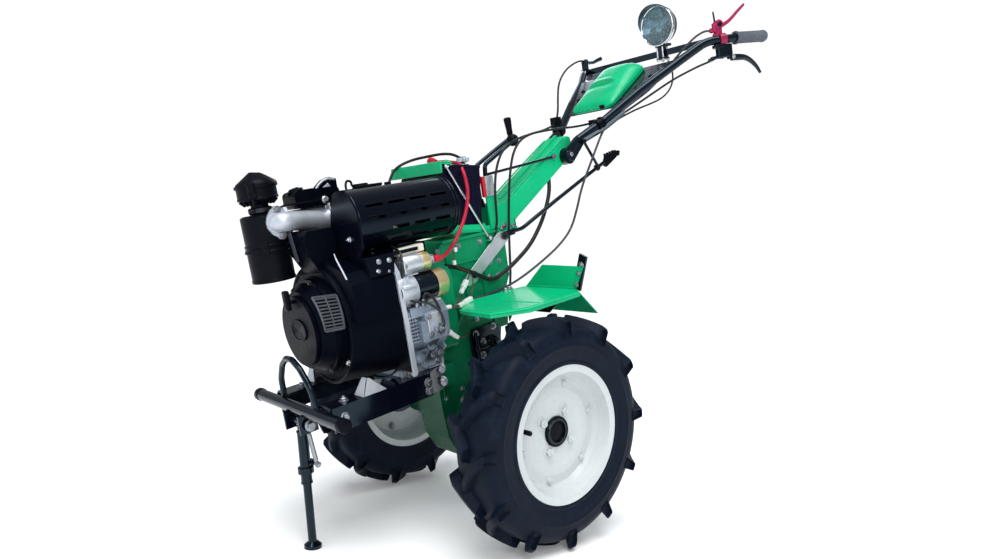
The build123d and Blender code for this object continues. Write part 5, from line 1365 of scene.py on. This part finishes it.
# lever plate: bright plate and red side band on the lever bracket
block(bm, (-166, 52.2, 899), (30, 2.6, 56), ch=0.8)
piece(bm, "lever_plate", GALV, "chassis", bevel=0.0005)
bm = bmesh.new()
block(bm, (-145.6, 46.8, 898), (9, 12.6, 58), ch=1.4)
piece(bm, "lever_guide_strip", PL_RED, "chassis", bevel=0.0006)
bm = bmesh.new()
# ball knob, tapered knob, boots, sleeves
lathe(bm, [(-19.5, 0), (-18.6, 5.2), (-16.6, 9.4), (-12.4, 13.6), (-6.6, 17.0), (0, 18.4), (6.6, 17.0), (11.4, 14.2), (14.8, 10.4), (16.0, 7.6),
           (19, 7.4), (19.6, 6.6)], (-306, 20, 1017), (14, 0, -9), n=40)
lathe(bm, [(-2, 6.4), (0, 8.8), (4, 9.4), (14, 9.2), (40, 11.2), (46, 11.4), (49.5, 9.6), (51, 6), (51.3, 0)], (-336, -20, 1036), (3, 0, 46), n=32)
for y in (20, -20):
    lathe(bm, [(0, 15), (5, 15.5), (7, 12.5), (11, 13.2), (13, 10.6), (17, 11.4), (19, 9.2), (24, 9.4), (26, 8.0)], (-184, y, 836), (0.02, 0, 1), n=28)
piece(bm, "lever_knobs", PL_BLACK, "chassis", bevel=0.0003)
bm = bmesh.new()
# brace: wide flat bar
plate(bm, [(-190, 68.2, 741), (-188, 68.2, 754), (-178, 68.2, 765), (-164, 68.2, 768), (-152, 68.2, 764), (-36, 68.2, 682), (-10, 68.2, 660), (-12, 68.2, 648),
           (-26, 68.2, 641), (-54, 68.2, 648), (-66, 68.2, 660)], (0, 3.0, 0))
piece(bm, "brace_face", GALV, "chassis", bevel=0.0010)
bm = bmesh.new()
hexbolt(bm, (-176, 74.4, 754), (0, 1, 0), af=14, h=7, stub=5)
hexbolt(bm, (-48, 71.4, 669), (0, 1, 0), af=12, h=6)
piece(bm, "brace_bolts", BOLT_BLACK, "chassis", bevel=0.0003)
bm = bmesh.new()
# foot pad of the shift rod, rubber sleeve, guide eye
plate(bm, [(-634, 66, 902), (-652, 66, 931), (-700, 66, 941), (-722, 66, 940), (-724, 66, 934), (-700, 66, 918), (-650, 66, 894)], (0, 8, 0))
for k in range(5):
    block(bm, (-650 - 13 * k, 70, 931 + 2.2 * min(k, 3)), (3.0, 9.4, 12), ch=0.8)
ring_lathe(bm, [(-6, 6.2), (-6, 9.5), (6, 9.5), (6, 6.2)], (-606, 70, 897), (80, 0, 29), n=28)
piece(bm, "shift_rod_pad", PL_BLACK, "chassis", bevel=0.0008)

# ------------------------------------------------------------------ handlebar
H_ = "handlebar"
bm = bmesh.new()
for s in (1, -1):
    hexbolt(bm, (-487, s * 74, 951), (0, s, 0), af=13, h=7, washer=False, turn=0.3)
piece(bm, "pivot_nuts", ZINC, H_, bevel=0.0004)
bm = bmesh.new()
for s in (1, -1):
    lathe(bm, [(0, 15.2), (0, 17.6), (3.4, 17.4), (4.6, 16), (8.4, 15.6)], (-491, s * 66.4, 948), (0, s, 0), n=40)
    # cheek plate that stiffens the arm's root, and the arm's eye
    plate(bm, [(-484, s * 62, 973), (-467, s * 62, 952), (-474, s * 62, 930), (-491, s * 62, 922), (-510, s * 62, 930),
               (-548, s * 74, 976), (-528, s * 72, 1002)], (0, s * 5, 0))
    lathe(bm, [(74.0, 15.4), (74.6, 17.6), (77.5, 17.8), (79.0, 16.0), (79.4, 0)], (-491, 0, 948), (0, s, 0), n=40)
piece(bm, "arm_root_plates", BLACK, H_, bevel=0.0010)
# box channel under the near arm's root, the light line along it
bm = bmesh.new()
sweep(bm, smooth_line([(-548, 82, 986), (-600, 98, 1006), (-640, 108, 1022), (-700, 132, 1058)]), [7.5] * 24 + [5.0], n=4)
sweep(bm, smooth_line([(-548, -82, 986), (-600, -98, 1006), (-640, -108, 1022), (-700, -132, 1058)]), [7.5] * 24 + [5.0], n=4)
piece(bm, "arm_channels", BLACK, H_, bevel=0.0008)

bm = bmesh.new()
for s in (1, -1):
    p0, p1 = Vector((-1065, s * 315, 1243)), Vector((-1202, s * 343.5, 1243))
    d_ = (p1 - p0).normalized()
    # collar, ribs and end cap of the grip
    ring_lathe(bm, [(8, 14.2), (8, 20.5), (10, 21.5), (14, 21.0), (16, 18.2), (16, 14.2)], p0, d_, n=36)
    for k in range(15):
        ring_lathe(bm, [(22 + 7.4 * k - 1.5, 17.2), (22 + 7.4 * k, 18.9), (22 + 7.4 * k + 1.5, 17.2), (22 + 7.4 * k, 16.2)], p0, d_, n=32)
    lathe(bm, [(132, 17.6), (134, 19.6), (140, 19.8), (144.5, 18.4), (147, 14.5), (147.6, 0)], p0, d_, n=36)
piece(bm, "grip_ribs", GRIP, H_, bevel=0.0002)

# hand lever and its bracket on the near side: forged, tapering, curled down at the tip
bm = bmesh.new()
blade = [(-1056, 309, 1183), (-1085, 321, 1181), (-1108, 326, 1178), (-1134, 330, 1168), (-1162, 334, 1148), (-1182, 336, 1126)]
sweep(bm, smooth_line(blade), [11.0 - 6.4 * (i / (len(smooth_line(blade)) - 1)) ** 1.4 for i in range(len(smooth_line(blade)))], n=14)
block(bm, (-1036, 296, 1206), (50, 24, 42), ((-80, 50, 0), (50, 80, 0), (0, 0, 1)), ch=3)
block(bm, (-1022, 287, 1223), (34, 32, 14), ((-80, 50, 0), (50, 80, 0), (0, 0, 1)), ch=3)
rod(bm, (-1012, 282, 1190), (-1032, 294, 1188), 6.5, n=20, ch=1)
lathe(bm, [(0, 5.2), (10, 6.0), (12, 7.4), (20, 7.4), (21, 5.4), (30, 4.2)], (-1012, 282, 1190), (29, -22, -10), n=20)
rod(bm, (-1052, 296, 1184), (-1056, 318, 1184), 5.5, n=18, ch=1)
# the far one: thumb lever standing on its clamp
blade2 = [(-1062, -312, 1292), (-1092, -320, 1292), (-1120, -326, 1294), (-1150, -331, 1302), (-1176, -334, 1308)]
sweep(bm, smooth_line(blade2), [5.4 + 0.10 * i for i in range(len(smooth_line(blade2)))], n=14)
block(bm, (-1050, -306, 1278), (52, 26, 40), ((-80, -50, 0), (50, -80, 0), (0, 0, 1)), ch=3)
block(bm, (-1042, -303, 1246), (26, 34, 34), ((-80, -50, 0), (50, -80, 0), (0, 0, 1)), ch=3)
lathe(bm, [(0, 4.2), (10, 6.8), (16, 6.8), (18, 5)], (-1030, -294, 1292), (-20, -12, -1), n=20)
piece(bm, "hand_lever_forgings", BLACK, H_, bevel=0.0010, replaces=("hand_levers",))
bm = bmesh.new()
hexbolt(bm, (-1045, 308, 1196), (50, 80, 0), af=11, h=5)
hexbolt(bm, (-1030, 300, 1218), (50, 80, 0), af=9, h=4)
hexbolt(bm, (-1054, 318, 1184), (0, 1, 0), af=9, h=4)
hexbolt(bm, (-1050, -304, 1298), (0, 0, 1), af=11, h=5)
piece(bm, "lever_screws", ZINC, H_, bevel=0.0003)

# throttle: crimson moulded clamp and body with a flat tapering lever
bm = bmesh.new()
ax_t = ((-80, 50, 0), (50, 80, 0), (0, 0, 1))
d_t = Vector((-28, 17.5, 0.4))
ring_lathe(bm, [(5, 14.3), (5, 18.2), (7, 20.2), (26, 20.2), (28, 18.2), (28, 14.3)], (-1018, 285.6, 1242.4), d_t, n=40)
block(bm, (-1024, 289, 1266), (22, 16, 30), ax_t, ch=3.0)
block(bm, (-1016, 284, 1282), (20, 17, 34), ax_t, ch=4.0)
lathe(bm, [(-9, 13), (-7, 15.4), (6, 15.8), (9, 13), (9, 0)], (-1024, 290, 1290), (50, 80, 0), n=36)
block(bm, (-1004, 277, 1274), (14, 13, 16), ax_t, ch=3)
block(bm, (-1014, 283, 1258), (16, 14, 14), ax_t, ch=3)
lv_ = smooth_line([(-1026, 296, 1284), (-1052, 300, 1293), (-1084, 301, 1307), (-1130, 299, 1331), (-1180, 297, 1356)])
sweep(bm, lv_, [7.0 - 0.07 * i for i in range(len(lv_))], n=12)
piece(bm, "throttle_body", PL_CRIMSON, H_, bevel=0.0008, replaces=("throttle_lever",))
bm = bmesh.new()
rod(bm, (-1016, 284, 1296), (-1012, 283, 1332), 3.2, 2.6, n=12, ch=0.5)
lathe(bm, [(0, 4.2), (12, 4.0), (14, 5.0), (18, 5.0), (19, 3.8)], (-1000, 276, 1276), (-12, 8, -4), n=18)
hexbolt(bm, (-1020, 299, 1290), (50, 80, 0), af=9, h=4)
piece(bm, "throttle_stop", BLACK, H_, bevel=0.0003)

# toolbox: lid seam, finger recess, hinge, latch
ux, uz = -0.857, 0.515
nx, nz = 0.515, 0.857


def arm_pt(s, n, y):
    return Vector((-620 + ux * s + nx * n, y, 1030 + uz * s + nz * n))


PROF = [(86, 13), (90, 18), (96, 24), (106, 29), (118, 31.6), (130, 33.2), (170, 38), (216, 43.6), (250, 47.2), (276, 48.8), (290, 48), (300, 45.2),
        (308, 40.5), (314, 34.5), (318, 27), (320, 20)]


def prof_n(sv):
    for (a0, n0), (a1, n1) in zip(PROF, PROF[1:]):
        if sv <= a1:
            return n0 + (n1 - n0) * max(0.0, (sv - a0) / (a1 - a0))
    return PROF[-1][1]


def lid_n(sv, y):
    """Height of the lid over the plate: crowned across, with a finger recess under a curved brow."""
    k = abs(y) / 89.0
    base = 13.0
    nn = base + max(0.0, prof_n(sv) - base) * max(0.0, 1.0 - k ** 3.4) ** 0.72
    yb = (y + 14) / 60.0
    if abs(yb) < 1.0:
        brow = 214.0 - 9.0 * yb * yb
        w_ = (1.0 - yb * yb) ** 0.6
        if sv < brow:
            nn -= 13.0 * w_ * math.exp(-((brow - sv) / 24.0) ** 1.5) * min(1.0, (brow - sv) / 5.0)
        elif sv < brow + 16:
            nn += 3.0 * w_ * (1 - (sv - brow) / 16.0)
    return nn


bm = bmesh.new()
NS, NY = 78, 60
RC = 26.0
S0, S1 = 86.0, 320.0


def plan(i, j):
    """Grid point (along, across) squeezed into an outline with rounded corners."""
    sv = S0 + (S1 - S0) * i / NS
    ymax = 88.0
    for e in (S0, S1):
        dd = abs(sv - e)
        rc = RC if e == S0 else 20.0
        if dd < rc:
            ymax = 88.0 - rc + math.sqrt(max(0.0, rc * rc - (rc - dd) ** 2))
    t = -1 + 2 * j / NY
    t = math.sin(t * math.pi / 2) * 0.35 + t * 0.65
    return sv, ymax * t, ymax


top = []
for i in range(NS + 1):
    row = []
    for j in range(NY + 1):
        sv, y, ymax = plan(i, j)
        row.append(bm.verts.new(arm_pt(sv, lid_n(sv, y * 88.0 / ymax if abs(y) > 60 else y), y)))
    top.append(row)
for i in range(NS):
    for j in range(NY):
        bm.faces.new((top[i][j], top[i + 1][j], top[i + 1][j + 1], top[i][j + 1]))
edge = [(i, 0) for i in range(NS + 1)] + [(NS, j) for j in range(1, NY + 1)] + [(i, NY) for i in range(NS - 1, -1, -1)] + [(0, j) for j in range(NY - 1, 0, -1)]
levels = []
for nn, off in ((12.0, 0.8), (10.6, 0.8), (10.2, -0.9), (9.0, -0.9), (8.8, 0.6), (4.2, 0.6)):
    lv = []
    for i, j in edge:
        sv, y, ymax = plan(i, j)
        cs, cy = (sv - (S0 + S1) / 2), y
        L = math.hypot(cs / 117.0, cy / 88.0) or 1.0
        lv.append(bm.verts.new(arm_pt(sv + off * cs / 117.0, nn, y + off * cy / 88.0)))
    levels.append(lv)
prev = [top[i][j] for i, j in edge]
for lv in levels:
    for k in range(len(edge)):
        k2 = (k + 1) % len(edge)
        bm.faces.new((prev[k], lv[k], lv[k2], prev[k2]))
    prev = lv
bm.faces.new(list(reversed(prev)))
bmesh.ops.remove_doubles(bm, verts=bm.verts, dist=0.02)
bmesh.ops.recalc_face_normals(bm, faces=bm.faces)
piece(bm, "toolbox_shell", PL_GREEN, H_, bevel=0.0, replaces=("toolbox",))
bm = bmesh.new()
for y in (-60, 60):
    c = arm_pt(319, 9, y)
    block(bm, c, (22, 10, 8), ((0, 1, 0), (ux, 0, uz), (nx, 0, nz)), ch=1.5)
block(bm, arm_pt(87, 12, 52), (20, 6, 14), ((0, 1, 0), (ux, 0, uz), (nx, 0, nz)), ch=1.5)
piece(bm, "toolbox_hinges", PL_BLACK, H_, bevel=0.0005)
bm = bmesh.new()
for s in (1, -1):
    for k in range(3):
        p = arm_pt(130 + 60 * k, 4.2, s * (104 + 21 * k))
        hexbolt(bm, p, (nx, 0, nz), af=10, h=4, turn=k)
piece(bm, "plate_bolts", BOLT_BLACK, H_, bevel=0.0003)

# headlamp: shell, rim, visor, lens
LC = Vector((-990, 85, 1334))
bm = bmesh.new()
lathe(bm, [(-58, 0), (-57, 14), (-52, 30), (-42, 46), (-28, 57.5), (-12, 63.6), (-2, 65.2), (2, 65.2)], LC, (1, 0, 0), n=64, closed=False)
lathe(bm, [(-64, 0), (-64, 9), (-62, 11), (-56, 11)], LC, (1, 0, 0), n=24, closed=False)
piece(bm, "headlamp_shell", PL_BLACK, H_, bevel=0.0004, replaces=("headlamp",))
bm = bmesh.new()
ring_lathe(bm, [(-6, 63.5), (-6, 66.4), (-3, 67.6), (6, 67.4), (9, 65.6), (9.5, 63.4), (7, 61.4), (4, 61.4), (2, 62)], LC, (1, 0, 0), n=72)
piece(bm, "headlamp_rim", CHROME, H_, bevel=0.0003)
bm = bmesh.new()
lathe(bm, [(-34, 0), (-32, 14), (-25, 31), (-12, 49), (2, 61.2), (3, 62.6), (1.5, 62.6), (-14, 49.4), (-27, 31), (-34.5, 14), (-36.5, 0)], LC, (1, 0, 0), n=64, closed=False)
piece(bm, "headlamp_reflector", SMOKE, H_)
bm = bmesh.new()
lathe(bm, [(4.0, 62.0), (5.5, 61.8), (9.0, 50), (12.0, 31), (13.6, 12), (14.0, 0), (12.0, 0), (11.6, 12), (10.0, 31), (7.0, 50), (4.0, 60.8)], LC, (1, 0, 0), n=72, closed=False)
piece(bm, "headlamp_lens", GLASS, H_)
bm = bmesh.new()
lathe(bm, [(-30, 8), (-24, 8), (-22, 10), (-18, 10.4), (-10, 8.6), (-6, 5), (-4.6, 0)], LC + Vector((0, -4, -12)), (1, 0, 0), n=28)
ring_lathe(bm, [(-26, 15), (-25, 17), (-18, 16), (-19, 14)], LC + Vector((0, -4, -12)), (1, 0, 0), n=36)
piece(bm, "headlamp_bulb", CHROME, H_)
bm = bmesh.new()
# visor: a crescent shade over the rim's upper half
rings = []
for k in range(25):
    a = math.radians(38 + 144 * k / 24)
    w_ = 26 * math.sin(math.pi * k / 24) ** 0.7 + 1.5
    pts = []
    for x, r in ((2, 68.0), (4 + w_, 70.6), (4 + w_, 69.2), (2, 66.4)):
        pts.append(bm.verts.new(LC + Vector((x, r * math.cos(a), r * math.sin(a)))))
    rings.append(pts)
for a, b_ in zip(rings, rings[1:]):
    for k in range(4):
        bm.faces.new((a[k], a[(k + 1) % 4], b_[(k + 1) % 4], b_[k]))
bm.faces.new(list(reversed(rings[0])))
bm.faces.new(rings[-1])
piece(bm, "headlamp_visor", SMOKE, H_, bevel=0.0003)
bm = bmesh.new()
block(bm, (-1000, 85, 1266), (32, 34, 7), ch=1.5)
block(bm, (-1000, 85, 1226), (32, 34, 7), ch=1.5)
lathe(bm, [(0, 8.4), (4, 12), (12, 12), (16, 9)], (-1004, 85, 1262), (0, 0, 1), n=24)
block(bm, (-1016, 100, 1270), (26, 12, 10), ch=2)
piece(bm, "headlamp_clamp_fittings", BLACK, H_, bevel=0.0006)
bm = bmesh.new()
for dy in (-11, 11):
    for x in (-1013, -987):
        rod(bm, (x, 85 + dy, 1216), (x, 85 + dy, 1276), 3, n=12, ch=0.6)
        hexbolt(bm, (x, 85 + dy, 1269.6), (0, 0, 1), af=8, h=5, turn=dy)
        hexbolt(bm, (x, 85 + dy, 1222.4), (0, 0, -1), af=8, h=5, turn=dy)
hexbolt(bm, (-996, 96, 1276), (0.3, 1, 0), af=12, h=7, stub=4)
piece(bm, "headlamp_clamp_nuts", ZINC, H_, bevel=0.0004)
# cable clamps: ridges
bm = bmesh.new()
for s in (1, -1):
    a, b_ = Vector((-609, s * 84.8, 1024.1)), Vector((-634, s * 91.8, 1035.6))
    d_ = (b_ - a).normalized()
    ring_lathe(bm, [(2, 18), (2, 20.2), (7, 20.2), (7, 18)], a, d_, n=36)
    ring_lathe(bm, [(20, 18), (20, 20.2), (25, 20.2), (25, 18)], a, d_, n=36)
piece(bm, "clamp_bands", PL_BLACK, H_, bevel=0.0004)


# ------------------------------------------------------------------ floor, light
me = bpy.data.meshes.new("floor")
bm = bmesh.new()
bmesh.ops.create_circle(bm, cap_ends=True, segments=96, radius=60.0)
bm.to_mesh(me)
bm.free()
floor = bpy.data.objects.new("floor", me)
SC.collection.objects.link(floor)
fm, nt, b, oc = shader("floor_pale")
nt.links.new(ramp(nt, noise_node(nt, oc, 0.6, 3.0), [(0.3, (0.91, 0.915, 0.92)), (0.7, (0.94, 0.945, 0.95))]), b.inputs["Base Color"])
b.inputs["Roughness"].default_value = 0.75
b.inputs["Emission Color"].default_value = (1.0, 1.0, 1.0, 1.0)
b.inputs["Emission Strength"].default_value = 0.10
b.inputs["Specular IOR Level"].default_value = 0.15
me.materials.append(fm)

w = bpy.data.worlds.new("studio")
SC.world = w
w.use_nodes = True
nt = w.node_tree
bg = nt.nodes["Background"]
bg.inputs["Color"].default_value = (0.92, 0.96, 1.0, 1.0)
bg.inputs["Strength"].default_value = 0.38
bg2 = nt.nodes.new("ShaderNodeBackground")
bg2.inputs["Color"].default_value = (1.0, 1.0, 1.0, 1.0)
bg2.inputs["Strength"].default_value = 1.05
lp = nt.nodes.new("ShaderNodeLightPath")
mx = nt.nodes.new("ShaderNodeMixShader")
nt.links.new(lp.outputs["Is Camera Ray"], mx.inputs["Fac"])
nt.links.new(bg.outputs["Background"], mx.inputs[1])
nt.links.new(bg2.outputs["Background"], mx.inputs[2])
nt.links.new(mx.outputs["Shader"], nt.nodes["World Output"].inputs["Surface"])


def area(name, loc, target, size, energy, col=(1, 1, 1), size_y=None):
    li = bpy.data.lights.new(name, "AREA")
    li.shape = "RECTANGLE" if size_y else "SQUARE"
    li.size = size
    if size_y:
        li.size_y = size_y
    li.energy = energy
    li.color = col
    o = bpy.data.objects.new(name, li)
    SC.collection.objects.link(o)
    o.location = loc
    o.rotation_euler = (Vector(target) - Vector(loc)).to_track_quat("-Z", "Y").to_euler()
    return o


sun = bpy.data.lights.new("sun", "SUN")
sun.energy = 2.7
sun.angle = math.radians(42)
sun_o = bpy.data.objects.new("sun", sun)
SC.collection.objects.link(sun_o)
sun_o.rotation_euler = (Vector((0, 0, 0)) - Vector((0.55, 0.75, 2.3))).to_track_quat("-Z", "Y").to_euler()
area("key", (2.0, 3.4, 2.2), (0.0, 0.0, 0.5), 1.8, 58)
area("side", (3.4, -0.4, 1.9), (0.2, 0.0, 0.7), 1.2, 16, (0.95, 0.97, 1.0), 1.8)
area("rear", (-2.3, -1.7, 2.9), (0.0, 0.0, 0.7), 2.0, 34, (0.82, 0.92, 1.0))
SC.view_settings.view_transform = "Standard"
SC.view_settings.look = "None"
SC.view_settings.exposure = 0.0
